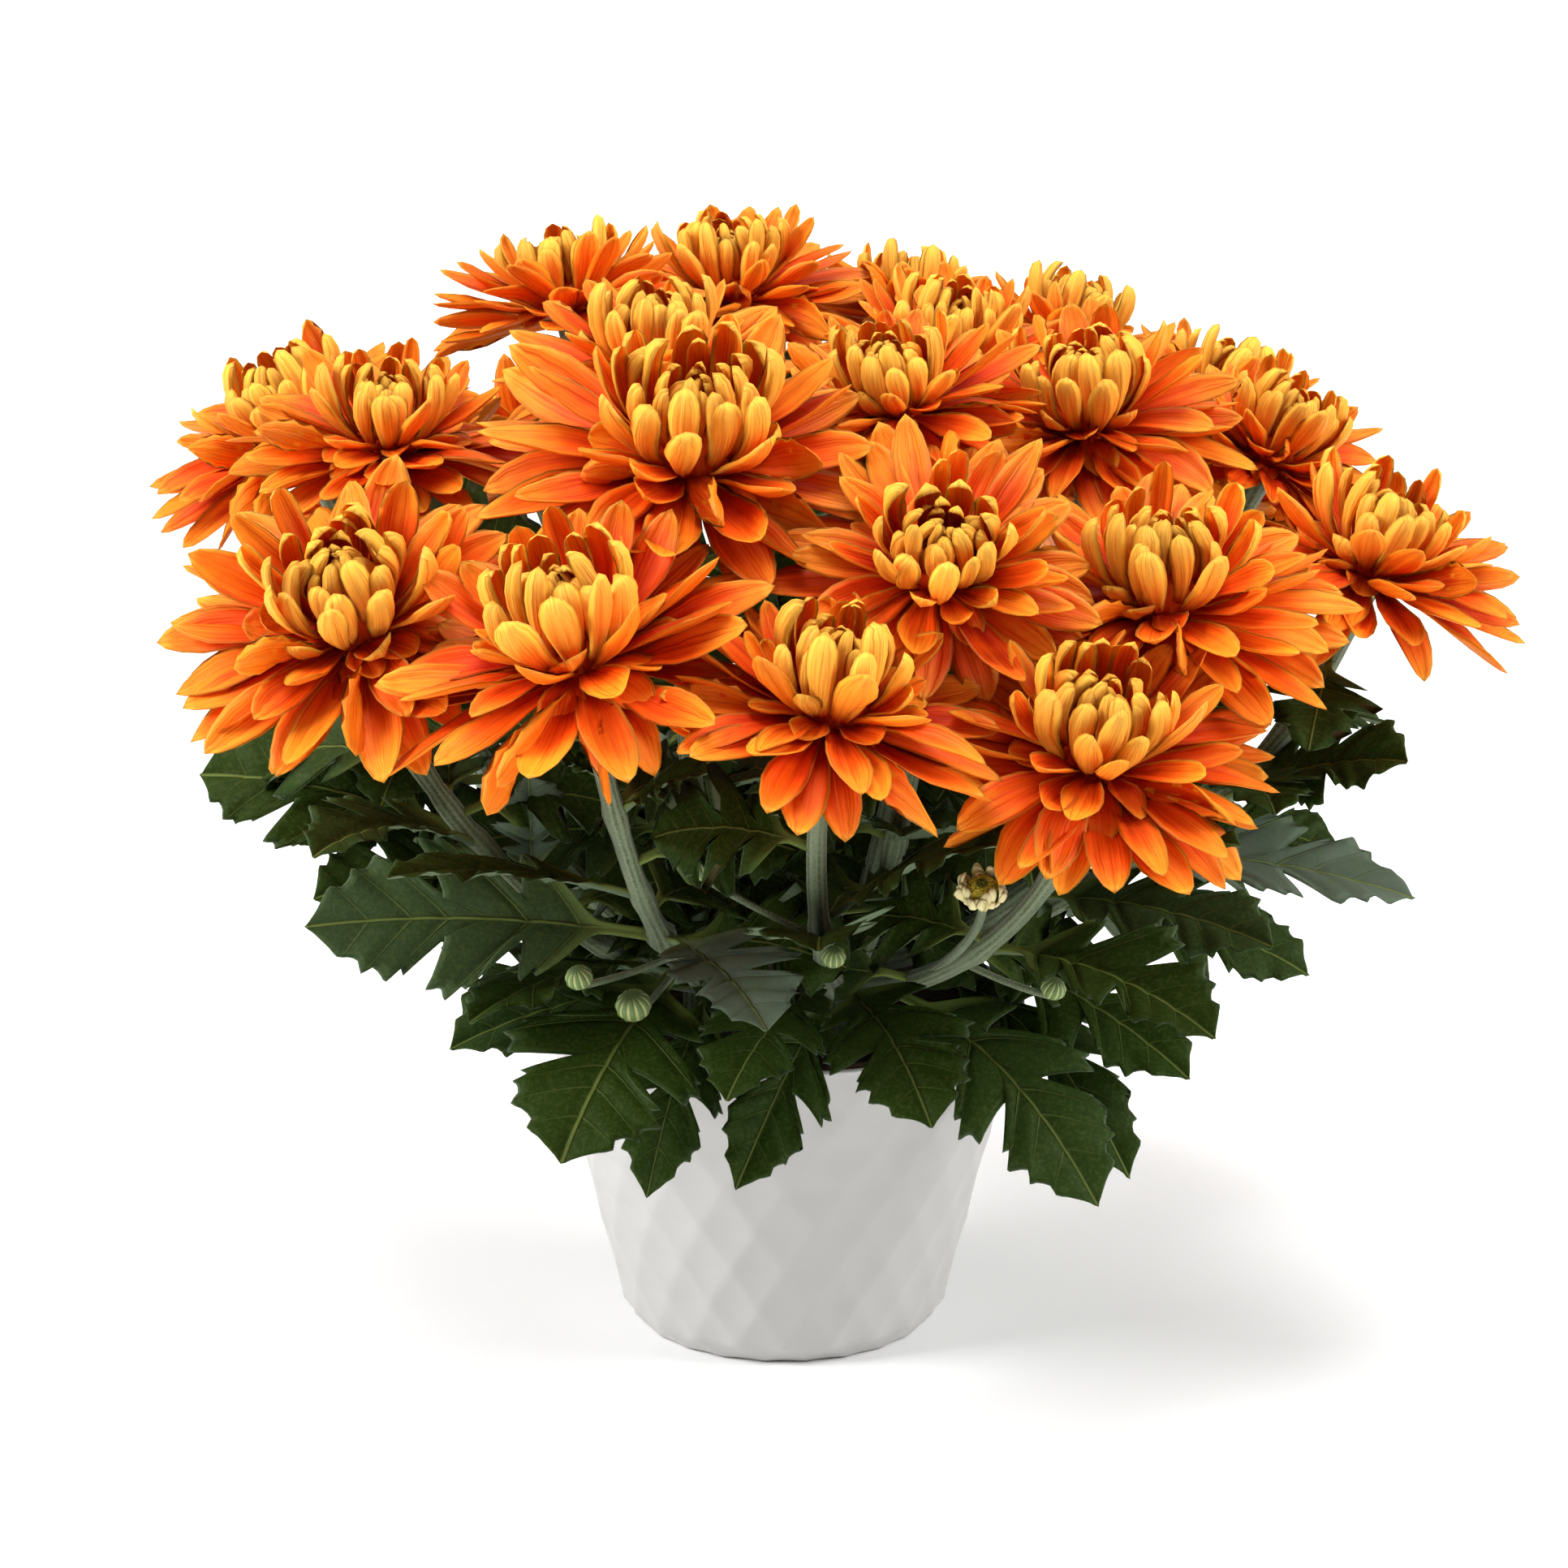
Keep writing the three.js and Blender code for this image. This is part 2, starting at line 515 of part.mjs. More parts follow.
// A bloom as one closed skin: the seat, each ring of petals, the hub between the rings and the dome.
// The petals are placed from the innermost ring out, and each one crosses none placed before it.
function bloomSolid(bloom, index) {
  const walls = wallsOf(bloom);
  const placed = [];
  const faces = [];
  const step = 360 / PETALS_IN_RING;
  const rings = PETAL_RINGS.filter((_, i) => i !== 1 || bloom.base.y < FULL_BLOOMS_TO);
  const angles = (ring) => Array.from({ length: PETALS_IN_RING }, (_, i) =>
    index * GOLDEN_ANGLE + ring.turn + i * step);
  for (const ring of rings.toReversed()) {
    for (const degrees of angles(ring)) {
      const parted = partings(bloom, ring, degrees);
      const fits = (choice) => {
        const points = petalPoints(bloom, ring, degrees, choice);
        if (!isClear(points, bloom, walls)) return false;
        const made = solidOf([...petalFaces(points, parted), ...rootFaces(parted)]);
        return !placed.some((other) => other.intersect(made).volume() > 1e-6);
      };
      const choice = TRIES.find(fits);
      if (!choice) {
        faces.push(...rootFaces(parted).map((f) => f.toReversed()));
        continue;
      }
      const made = petalFaces(petalPoints(bloom, ring, degrees, choice), parted);
      placed.push(solidOf([...made, ...rootFaces(parted)]));
      faces.push(...made);
    }
  }
  const rim = (ring, side) =>
    angles(ring).map((degrees) => partings(bloom, ring, degrees)[0][side]);
  const seat = angles(rings[0]).map((d) => hubPoint(bloom, SEAT_RADIUS, 0, d - step / 2));
  let below = seat;
  for (const ring of rings) {
    faces.push(...bandFaces(below, rim(ring, 1)));
    below = rim(ring, 0);
  }
  const apex = hubPoint(bloom, 0, DOME_HEIGHT, 0);
  below.forEach((p, i) => faces.push([p, below[(i + 1) % below.length], apex]));
  for (let i = 1; i + 1 < seat.length; i++) faces.push([seat[0], seat[i + 1], seat[i]]);
  return solidOf(faces);
}

// The face that closes a petal's root, between its partings.
const rootFaces = ([[b, B], [a, A]]) => [[b, a, A], [b, A, B]];

// The band between a lower and an upper closed row of as many points.
const bandFaces = (low, high) =>
  low.flatMap((p, i) => {
    const j = (i + 1) % low.length;
    return [[p, low[j], high[j]], [p, high[j], high[i]]];
  });

// ---- Leaves, buds and cuttings ----

// A leaf along an arched midrib. Both faces have the same triangles, a thickness apart, and the two
// halves of the blade rise from the midrib in a shallow fold.
function leafSolid({ on, share, tip, face, half, arch }) {
  const start = blooms[on - 1].branch.getPoint(share);
  const end = new Vector(...tip);
  const facing = new Vector(...face).normalize();
  const lift = facing.clone().add(UP).normalize();
  const middle = start.clone().add(end).multiplyScalar(0.5).addScaledVector(lift, 2 * arch);
  const midrib = new THREE.QuadraticBezierCurve3(start, middle, end);
  const at = (along, wide) => {
    const run = midrib.getTangent(along);
    const normal = facing.clone().projectOnPlane(run).normalize();
    const side = new Vector().crossVectors(normal, run);
    const width = wide * half;
    const point = midrib.getPoint(along)
      .addScaledVector(side, width)
      .addScaledVector(normal, LEAF_FOLD * Math.abs(width));
    return { point, normal };
  };
  const rib = [0, ...MIDRIB_STOPS, 1].map((a) => [a, 0]);
  const sides = [1, -1].map((sign) => LEAF_SIDE.map(([a, w]) => [a, sign * w]));
  const flat = [...rib, ...sides[0], ...sides[1]];
  const placed = flat.map(([a, w]) => at(a, w));
  const count = flat.length;
  const ribEnd = rib.length;
  const halves = sides.map((points, h) => {
    const firstEdge = ribEnd + h * points.length;
    const edge = points.map((_, i) => firstEdge + i);
    return [...edge, ribEnd - 1, ...rib.map((_, i) => i).reverse().slice(1)];
  });
  const corners = [];
  for (const loop of halves) {
    const outline = loop.map((i) => new THREE.Vector2(flat[i][0] * 3, flat[i][1]));
    for (const [p, q, r] of THREE.ShapeUtils.triangulateShape(outline, [])) {
      const [a, b, c] = [loop[p], loop[q], loop[r]];
      const reverse = THREE.ShapeUtils.isClockWise([outline[p], outline[q], outline[r]]);
      corners.push(...(reverse ? [a, c, b] : [a, b, c]));
      corners.push(...(reverse ? [a, b, c] : [a, c, b]).map((i) => i + count));
    }
  }
  const left = halves[0].slice(0, sides[0].length + 1);
  const right = halves[1].slice(0, sides[1].length + 1);
  const rim = [0, ...left, ...right.slice(0, -1).reverse()];
  for (let i = 0; i < rim.length; i++) {
    const [a, b] = [rim[i], rim[(i + 1) % rim.length]];
    corners.push(a, b, b + count, a, b + count, a + count);
  }
  const points = [1, -1].flatMap((s) =>
    placed.map(({ point, normal }) => point.clone().addScaledVector(normal, (s * LEAF_THICK) / 2)),
  );
  const geometry = new THREE.BufferGeometry().setFromPoints(points);
  geometry.setIndex(corners);
  return solid(geometry);
}

function stalk(from, to, radius) {
  return solid(tube(new THREE.LineCurve3(from, to), radius, 4, 1));
}

function budSolids({ on, share, at, radius }) {
  const centre = new Vector(...at);
  const ball = new THREE.SphereGeometry(radius, 6, 4).translate(...at);
  return [stalk(blooms[on - 1].branch.getPoint(share), centre, BUD_STALK_RADIUS), solid(ball)];
}

// The opening bud's florets as a fluted cup, with the disc standing out of it.
function openingBud() {
  const { at, across, tilt, toward } = OPENING_BUD;
  const flutes = new THREE.Shape(
    Array.from({ length: 2 * OPENING_FLORETS }, (_, i) => {
      const angle = (i * Math.PI) / OPENING_FLORETS;
      const radius = across * (i % 2 ? 0.42 : 0.5);
      return new THREE.Vector2(radius * Math.cos(angle), radius * Math.sin(angle));
    }),
  );
  const cup = new THREE.ExtrudeGeometry(flutes, { depth: across * 0.5, bevelEnabled: false });
  const disc = new THREE.SphereGeometry(across * 0.36, 8, 4).rotateX(Math.PI / 2)
    .translate(0, 0, across * 0.4);
  const place = new THREE.Matrix4()
    .makeRotationFromQuaternion(
      new THREE.Quaternion().setFromUnitVectors(UP, leaning(tilt, toward)),
    )
    .setPosition(...at);
  return joined([solid(cup.applyMatrix4(place)), solid(disc.applyMatrix4(place))]);
}

function cutting(index) {
  const { toward } = PLANTS[index];
  const root = around(ROOT_CIRCLE, toward, PEAT_HEIGHT - ROOT_DEPTH + SEAT_GAP);
  const crown = around(ROOT_CIRCLE, toward, CROWN_HEIGHT + 1);
  const parts = [solid(tube(new THREE.LineCurve3(root, crown), MAIN_STEM_RADIUS, STEM_SIDES, 1))];
  const carried = (row) => blooms[row.on - 1].plant === index;
  for (const bloom of blooms.filter((b) => b.plant === index)) {
    parts.push(solid(tube(bloom.branch, BRANCH_RADIUS, BRANCH_SIDES, BRANCH_STEPS)));
  }
  parts.push(...LEAVES.filter(carried).map(leafSolid));
  parts.push(...BUDS.filter(carried).flatMap(budSolids));
  if (carried(OPENING_BUD)) {
    const { on, share, at, tilt, toward: side } = OPENING_BUD;
    const seat = new Vector(...at).addScaledVector(leaning(tilt, side), -SEAT_GAP);
    parts.push(stalk(blooms[on - 1].branch.getPoint(share), seat, BUD_STALK_RADIUS));
  }
  return wholeBody(joined(parts));
}

// ---- The whole plant ----

const finish = (color, roughness) =>
  new THREE.MeshStandardMaterial({ color, roughness, metalness: 0 });
const WHITE_POT = finish(0xdcdad6, 0.4);
const NURSERY_PLASTIC = finish(0x6b3a26, 0.6);
const PEAT_BROWN = finish(0x1c1410, 1);
const LEAF_GREEN = finish(0x2c4020, 0.7);
const PETAL_ORANGE = finish(0xe8701a, 0.6);
const FLORET_YELLOW = finish(0xd8c070, 0.6);

const plant = new THREE.Group();
plant.add(meshOf("cover_pot", coverPot(), WHITE_POT));
plant.add(meshOf("nursery_pot", nurseryPot(), NURSERY_PLASTIC));
plant.add(meshOf("peat", peat(), PEAT_BROWN));
plant.add(meshOf("opening_bud", openingBud(), FLORET_YELLOW));
PLANTS.forEach(({ name }, i) => plant.add(meshOf(name, cutting(i), LEAF_GREEN)));
blooms.forEach((bloom, i) => {
  const name = "bloom_" + String(i + 1).padStart(2, "0");
  plant.add(meshOf(name, bloomSolid(bloom, i), PETAL_ORANGE));
});

export default plant;
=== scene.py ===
"""The looks of a potted chrysanthemum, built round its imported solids, in metres with +Z up.

Five rooted cuttings carry 25 double blooms, lobed leaves and a few buds. They stand in a nursery
pot of peat, inside a diamond-faceted cover pot. Every table here is in millimetres and degrees.
"""

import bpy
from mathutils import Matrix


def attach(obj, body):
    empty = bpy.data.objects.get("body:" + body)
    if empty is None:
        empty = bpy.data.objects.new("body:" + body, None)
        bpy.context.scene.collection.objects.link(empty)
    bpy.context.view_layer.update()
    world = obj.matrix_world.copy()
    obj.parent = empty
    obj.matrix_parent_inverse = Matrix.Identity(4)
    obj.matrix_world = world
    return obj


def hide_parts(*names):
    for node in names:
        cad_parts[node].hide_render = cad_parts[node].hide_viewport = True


bl_info = {
    "name": "Potted chrysanthemum",
    "version": (1, 0, 0),
    "blender": (4, 5, 0),
    "location": "3D View > Sidebar > Chrysanthemum",
    "description": "Petals, leaves, stems, pots and peat of a potted chrysanthemum",
    "category": "Object",
}

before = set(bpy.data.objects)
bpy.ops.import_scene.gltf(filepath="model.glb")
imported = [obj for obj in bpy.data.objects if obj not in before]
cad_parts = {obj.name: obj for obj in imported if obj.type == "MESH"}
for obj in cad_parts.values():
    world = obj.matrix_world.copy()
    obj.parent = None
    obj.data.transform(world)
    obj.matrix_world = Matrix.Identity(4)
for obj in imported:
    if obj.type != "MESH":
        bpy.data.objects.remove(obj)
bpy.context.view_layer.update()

import math

import bpy
import numpy as np
from bpy.props import FloatProperty, FloatVectorProperty, IntProperty, PointerProperty

MM = 0.001
UP = np.array([0.0, 0.0, 1.0])
GOLDEN_ANGLE = math.radians(137.508)
# Seeds of the random draws; a bloom's and a cutting's number is added to its own.
BLOOM_SEED, CUTTING_SEED, PEAT_SEED, BUD_SEED = 100, 500, 700, 900

# Each bloom: the underside's centre (x, y, z), the width across its open petals, the tilt from
# upright, the side that it tilts to, and the number of the cutting that carries it.
BLOOMS = np.array([
    (-47, -128, 205, 90, 20, -122, 0),
    (10, -138, 195, 79, 16, -60, 1),
    (72, -128, 182, 80, 26, -75, 1),
    (-101, -100, 208, 90, 36, -104, 0),
    (36, -103, 223, 76, 45, -88, 1),
    (91, -88, 210, 86, 18, -95, 2),
    (146, -40, 209, 78, 18, -35, 2),
    (-23, -75, 243, 94, 28, -78, 0),
    (-99, -35, 240, 72, 12, -90, 0),
    (-125, 17, 232, 78, 24, -160, 4),
    (-58, 67, 260, 70, 14, 130, 4),
    (-34, 6, 251, 78, 8, -95, 4),
    (-14, 99, 259, 74, 10, -120, 3),
    (34, 126, 248, 68, 18, 70, 3),
    (29, -50, 252, 68, 20, -120, 1),
    (44, 34, 250, 72, 12, -60, 2),
    (78, 92, 246, 68, 16, 30, 3),
    (77, -14, 242, 79, 22, -100, 2),
    (116, 62, 232, 70, 24, 10, 2),
    (125, 8, 230, 68, 24, -20, 2),
    (-112, 88, 207, 82, 38, 145, 4),
    (-72, 138, 203, 84, 40, 118, 4),
    (-4, 158, 205, 84, 40, 92, 3),
    (68, 146, 202, 84, 38, 66, 3),
    (120, 104, 196, 80, 38, 40, 3),
], float)
# Each cutting, and where its main stem stands round the pot's axis.
CUTTINGS = [
    ("cutting_front_left", -130),
    ("cutting_front_right", -55),
    ("cutting_right", 15),
    ("cutting_back", 90),
    ("cutting_left", 165),
]
# The width that PETAL_STAGES is drawn for, and how far above its base such a bloom's middle is.
PATTERN_ACROSS = 90 * MM
BLOOM_MIDDLE = 9 * MM
# How far petals hang below a bloom's middle, as a share of its width, and which way that is.
DROP = 0.43
BELOW = np.array([0.0, -0.2467, -0.9691])

# The main stems: how far from the pot's axis they stand, and where they start, part and end.
CROWN_REACH = 24 * MM
CROWN_FOOT, CROWN_FORK, CROWN_TOP = 56.3 * MM, 97 * MM, 98.5 * MM

# A skin's tint holds four numbers for its material. On a petal they are a random shade, its place
# in the bloom, which face it is (0 below, 1 above) and a random warmth. On a leaf they are its
# frost (pale hairs with a painted sheen), how far a point lies from the midrib in half widths, the
# face and the share of the way to the edge. On the rest only the first is read, if any.
PLAIN = (0.5, 0, 1, 0)

# A bloom PATTERN_ACROSS wide, from its outermost petal (0) to its innermost (1): the height and
# radius of the petal's root, its slope at the root and at the tip, its length, half its width, and
# the depth of its channel as a share of half its width.
PETAL_STAGES = np.array([
    (0.00, 2.5, 8.0, -2, -24, 41.0, 6.0, 0.30),
    (0.14, 3.4, 8.0, 6, -14, 42.0, 6.4, 0.32),
    (0.28, 4.6, 8.0, 15, -4, 41.0, 6.2, 0.35),
    (0.40, 6.0, 8.0, 25, 6, 37.5, 5.8, 0.40),
    (0.50, 7.4, 8.4, 35, 22, 33.0, 5.3, 0.46),
    (0.58, 8.6, 8.8, 45, 46, 28.5, 4.8, 0.56),
    (0.66, 9.6, 9.8, 48, 92, 25.0, 4.1, 0.85),
    (0.77, 11.0, 8.0, 57, 112, 22.5, 3.5, 0.95),
    (0.89, 13.5, 5.2, 66, 122, 17.5, 2.5, 0.9),
    (1.00, 16.0, 1.6, 78, 136, 12.0, 1.6, 0.80),
])

# How much petals vary either way: the angle, the slopes and the twist in degrees, and the length,
# half the width, the channel's depth and the sway in shares.
PETAL_VARIES = {
    "angle": 7, "low": 9, "high": 22, "long": 0.11, "half": 0.11, "cup": 0.25, "twist": 36,
    "sway": 0.11,
}
# The places over which petals turn from open ones to the incurved ones of the heart.
HEART = (0.50, 0.66)
# Of the open petals, those before OPEN_END, some stay short and sink, and some roll over.
OPEN_END = 0.64
STUNTED = {"from": 0.30, "chance": 0.26, "length": 0.55, "sink": 24}
ROLLED = {"chance": 0.07, "turn": 125}

# What a crowded petal tries, cheapest first: a share of its length, and degrees bent up. A degree
# costs as much as this share of the length. The root bends by a part of what the tip bends.
DEGREE_COST = 0.012
ROOT_BEND = 0.6
PETAL_TRIES = sorted(
    (
        (part, bend)
        for part in (1, 0.9, 0.8, 0.7, 0.6, 0.5)
        for bend in (0, 8, 16, 24, 32, 40, 50)
    ),
    key=lambda pair: DEGREE_COST * pair[1] - pair[0],
)

# Leaves: the bloom whose branch carries it (from 1), how far along the branch, the tip, the way
# that its upper side faces, half its width, and how far it arches.
LEAVES = [
    (1, 0.36, (-117, -95, 136), (0.1, -0.85, 0.5), 20, 5),
    (4, 0.55, (-146, -62, 166), (-0.1, -0.7, 0.7), 21, 5),
    (4, 0.52, (-112, -118, 160), (-0.2, -0.5, 0.85), 15, 8),
    (4, 0.72, (-120, -10, 155), (-0.1, -0.3, 0.9), 15, 6),
    (1, 0.5, (-93, -135, 160), (-0.1, -0.15, 0.95), 12, 4),
    (1, 0.12, (-77, -103, 114), (-0.3, -0.3, 0.9), 16, 9),
    (1, 0.05, (-84, -74, 98), (-0.2, -0.7, 0.7), 15, 6),
    (1, 0.22, (-54, -118, 83), (-0.2, -0.9, 0.4), 25, 8),
    (1, 0.06, (-34, -98, 67), (0, -0.95, 0.3), 13, 10),
    (2, 0.04, (-12, -95, 68), (0.2, -0.9, 0.3), 14, 10),
    (2, 0.2, (-14, -118, 99), (-0.3, -0.8, 0.4), 16, 7),
    (1, 0.36, (-4, -122, 118), (0.4, -0.8, 0.4), 18, 6),
    (1, 0.72, (-18, -130, 184), (0.1, -0.5, 0.85), 8, 3),
    (4, 0.4, (-63, -75, 169), (0.3, -0.9, 0.1), 10, 3),
    (2, 0.5, (50, -150, 172), (0, -0.35, 0.95), 17, 5),
    (2, 0.34, (8, -142, 144), (-0.1, -0.6, 0.8), 18, 6),
    (2, 0.12, (36, -112, 90), (0.1, -0.85, 0.5), 19, 10),
    (3, 0.12, (78, -96, 64), (0.25, -0.9, 0.35), 19, 13),
    (6, 0.08, (88, -70, 62), (0.5, -0.8, 0.3), 15, 13),
    (6, 0.16, (103, -65, 87), (0.3, -0.7, 0.6), 18, 7),
    (3, 0.42, (103, -125, 117), (0.2, -0.5, 0.85), 18, 7),
    (6, 0.36, (120, -92, 130), (0, -0.6, 0.8), 16, 5),
    (7, 0.25, (137, -30, 104), (0.3, -0.5, 0.85), 19, 7),
    (6, 0.48, (159, -62, 134), (0.1, -0.4, 0.9), 16, 6),
    (7, 0.45, (145, -20, 135), (0.1, -0.5, 0.85), 15, 5),
    (7, 0.55, (156, -60, 169), (0.1, -0.6, 0.8), 18, 5),
    (7, 0.72, (158, 0, 165), (0, -0.5, 0.85), 13, 4),
    (3, 0.72, (106, -140, 169), (0, -0.3, 0.95), 11, 4),
    (8, 0.5, (-55, -50, 153), (-0.1, -0.8, 0.6), 15, 4),
    (8, 0.4, (-18, -75, 142), (0.3, -0.9, 0.3), 15, 4),
    (5, 0.45, (29, -80, 155), (0.1, -0.8, 0.6), 16, 4),
    (18, 0.42, (62, -76, 140), (0.2, -0.8, 0.6), 16, 4),
    (12, 0.6, (-42, -30, 166), (-0.1, -0.8, 0.6), 16, 4),
    (6, 0.6, (99, -60, 160), (0.1, -0.8, 0.6), 14, 4),
    (4, 0.62, (-84, -46, 172), (-0.1, -0.7, 0.7), 13, 4),
    (15, 0.5, (6, -58, 168), (0, -0.8, 0.6), 14, 4),
    (12, 0.48, (-14, -22, 160), (0.1, -0.8, 0.6), 16, 5),
    (16, 0.5, (56, -12, 160), (0, -0.8, 0.6), 16, 5),
    (19, 0.3, (128, 30, 108), (0.6, 0.1, 0.8), 20, 8),
    (19, 0.5, (156, 52, 150), (0.3, 0.2, 0.9), 19, 6),
    (25, 0.2, (98, 62, 84), (0.7, 0.4, 0.5), 21, 9),
    (25, 0.45, (128, 116, 128), (0.5, 0.5, 0.75), 20, 7),
    (24, 0.2, (56, 98, 76), (0.4, 0.8, 0.4), 22, 9),
    (24, 0.45, (86, 146, 126), (0.4, 0.6, 0.75), 20, 7),
    (23, 0.18, (8, 104, 70), (0, 0.9, 0.4), 20, 9),
    (23, 0.42, (20, 160, 122), (0.1, 0.7, 0.7), 21, 7),
    (22, 0.2, (-44, 96, 76), (-0.3, 0.85, 0.4), 21, 9),
    (22, 0.42, (-50, 150, 126), (-0.3, 0.6, 0.75), 20, 7),
    (21, 0.22, (-92, 62, 80), (-0.6, 0.6, 0.5), 21, 9),
    (21, 0.45, (-118, 112, 130), (-0.5, 0.5, 0.75), 20, 7),
    (10, 0.3, (-118, 24, 104), (-0.7, 0, 0.7), 20, 8),
    (10, 0.6, (-158, 20, 182), (-0.3, 0, 0.95), 16, 5),
    (10, 0.42, (-142, 52, 146), (-0.4, 0.2, 0.85), 18, 6),
    (4, 0.25, (-104, -30, 116), (-0.5, -0.3, 0.8), 19, 8),
    (9, 0.5, (-122, -62, 148), (-0.1, -0.8, 0.6), 17, 5),
    (9, 0.66, (-100, -74, 160), (0, -0.8, 0.6), 16, 5),
    (7, 0.6, (122, -70, 158), (0.1, -0.8, 0.6), 15, 5),
    (8, 0.42, (-94, -56, 144), (0, -0.85, 0.5), 19, 4),
    (10, 0.08, (-76, -4, 84), (-0.9, -0.1, 0.45), 20, 8),
    (10, 0.14, (-82, 40, 88), (-0.8, 0.3, 0.5), 20, 9),
    (4, 0.10, (-84, -38, 92), (-0.7, -0.5, 0.5), 18, 8),
    (19, 0.08, (78, 6, 84), (0.9, 0, 0.45), 20, 8),
    (18, 0.12, (84, -30, 88), (0.8, -0.4, 0.5), 18, 8),
    (25, 0.10, (78, 46, 82), (0.8, 0.5, 0.4), 20, 8),
    (4, 0.42, (-116, -84, 140), (-0.1, -0.8, 0.6), 16, 5),
]
# The slope of a leaf's halves from the midrib, the shares of the length over which the petiole
# turns into the blade, the petiole's radius, and the depths and widths of the midrib's groove and
# of the veins, a vein's width as a share of the length.
LEAF_FOLD = 0.22
PETIOLE_TOP, BLADE_START = 0.14, 0.22
PETIOLE_RADIUS = 1.05 * MM
GROOVE_DEPTH, GROOVE_WIDTH = 0.8 * MM, 1.3 * MM
VEIN_DEPTH, VEIN_WIDTH = 0.9 * MM, 0.018
# How uneven a leaf's edge is, how far its halves sink, least and most, as shares of half its width,
# and the numbers of the two waves along its edge.
LEAF_UNEVEN = 0.045
LEAF_DROOP = (-0.05, 0.35)
LEAF_WAVES = (3.2, 7.1)
# One side of the blade, petiole end to tip: the share of the length, the share of half the width,
# and how far the edge lies ahead of the midrib's point that its vein leaves from. Wide rows are the
# points of teeth, and narrow ones the notches between teeth and the bays between lobes.
LEAF_SIDE = np.array([
    (0.00, 0.09, 0.00), (0.15, 0.08, 0.00), (0.18, 0.14, 0.03), (0.195, 0.42, 0.08),
    (0.208, 0.62, 0.115), (0.222, 0.72, 0.14), (0.236, 0.67, 0.135), (0.250, 0.78, 0.155),
    (0.264, 0.68, 0.148), (0.277, 0.42, 0.125), (0.292, 0.23, 0.11), (0.308, 0.23, 0.115),
    (0.324, 0.54, 0.165), (0.334, 0.84, 0.205), (0.345, 0.95, 0.225), (0.36, 0.90, 0.22),
    (0.378, 1.06, 0.25), (0.396, 0.97, 0.24), (0.412, 0.93, 0.235), (0.428, 0.97, 0.255),
    (0.443, 0.78, 0.22), (0.459, 0.44, 0.17), (0.478, 0.25, 0.14), (0.502, 0.26, 0.14),
    (0.524, 0.52, 0.18), (0.54, 0.72, 0.20), (0.565, 0.67, 0.18), (0.60, 0.79, 0.19),
    (0.64, 0.72, 0.165), (0.68, 0.64, 0.145), (0.71, 0.68, 0.15), (0.75, 0.56, 0.115),
    (0.80, 0.44, 0.09), (0.84, 0.45, 0.08), (0.885, 0.32, 0.055), (0.93, 0.20, 0.03),
    (0.97, 0.09, 0.01), (1.00, 0.00, 0.00),
])
# The rows of the table that a plain leaf keeps.
INNER_ROWS = [0, 1, 2, 4, 7, 10, 13, 16, 19, 22, 25, 27, 29, 30, 32, 34, 36, 37]
# Lateral veins: where each leaves the midrib, and how strong it is.
LATERAL_VEINS = ((0.228, 0.8), (0.376, 1.0), (0.48, 0.3), (0.60, 0.8), (0.70, 0.5), (0.82, 0.4))
# Leaves whose upper face is frosted with pale hairs and painted with a grey-blue sheen, paler and
# brighter: the leaf's place in the list, and how much.
FROSTED = {0: 0.5, 11: 1.0, 13: 0.8, 23: 0.9}

# Side buds: the bloom whose branch carries it, how far along, the bud's centre and its radius.
BUDS = [
    (1, 0.28, (-50, -98, 124), 3.4),
    (1, 0.24, (-37, -92, 115), 4.4),
    (2, 0.45, (-20, -104, 153), 3.2),
    (2, 0.36, (12, -104, 131), 3.0),
    (3, 0.36, (66, -94, 120), 3.2),
]
OPENING_BUD = {"on": 3, "share": 0.24, "at": (48, -104, 145.5), "tilt": 36, "toward": -97}
# The opening bud's florets, in the same columns as PETAL_STAGES, and how far they may curl in.
FLORETS, FLORET_CURL = 34, 118
FLORET_STAGES = np.array([
    (0.0, 0.4, 2.6, 26, 88, 6.8, 1.5, 0.5),
    (0.5, 0.8, 2.8, 38, 104, 6.2, 1.45, 0.5),
    (1.0, 1.6, 3.0, 54, 116, 5.2, 1.3, 0.5),
])


# ---- Settings ----


def length(name, text, default):
    return FloatProperty(
        name=name, description=text, default=default, min=0, unit="LENGTH", subtype="DISTANCE"
    )


def colour(name, text, default):
    return FloatVectorProperty(
        name=name, description=text, default=default, size=3, min=0, max=1, subtype="COLOR"
    )


class MumPetalSettings(bpy.types.PropertyGroup):
    count: IntProperty(
        name="Petals", description="Petals in one bloom", default=100, min=20, max=120
    )
    thickness: length("Thickness", "Thickness of a petal at its keel", 0.8 * MM)
    overlap: length("Overlap", "How far neighbouring blooms reach into each other", 18 * MM)
    root: colour("Root", "Upper face of an open petal near its root", (0.50, 0.013, 0.0))
    middle: colour("Middle", "Upper face of an open petal half way along", (0.80, 0.080, 0.001))
    tip: colour("Tip", "Upper face of an open petal at its tip", (0.90, 0.26, 0.012))
    reverse: colour("Reverse", "Underside of an open petal", (0.86, 0.22, 0.008))
    heart: colour("Heart", "Backs of the incurved petals in the middle", (0.90, 0.45, 0.05))


class MumLeafSettings(bpy.types.PropertyGroup):
    thickness: length("Thickness", "Thickness of the blade", 0.55 * MM)
    ripple: length("Ripple", "Height of the waves along the blade's edge", 1.1 * MM)
    blade: colour("Blade", "Upper face of a leaf", (0.016, 0.036, 0.002))
    # The frosted colour is pale hairs together with a painted grey-blue sheen.
    frost_and_sheen: colour("Frosted blade", "Upper face of a leaf with pale hairs", (0.090, 0.120, 0.090))
    vein: colour("Veins", "Midrib and lateral veins", (0.17, 0.22, 0.05))
    under: colour("Underside", "Underside of a leaf", (0.11, 0.15, 0.085))


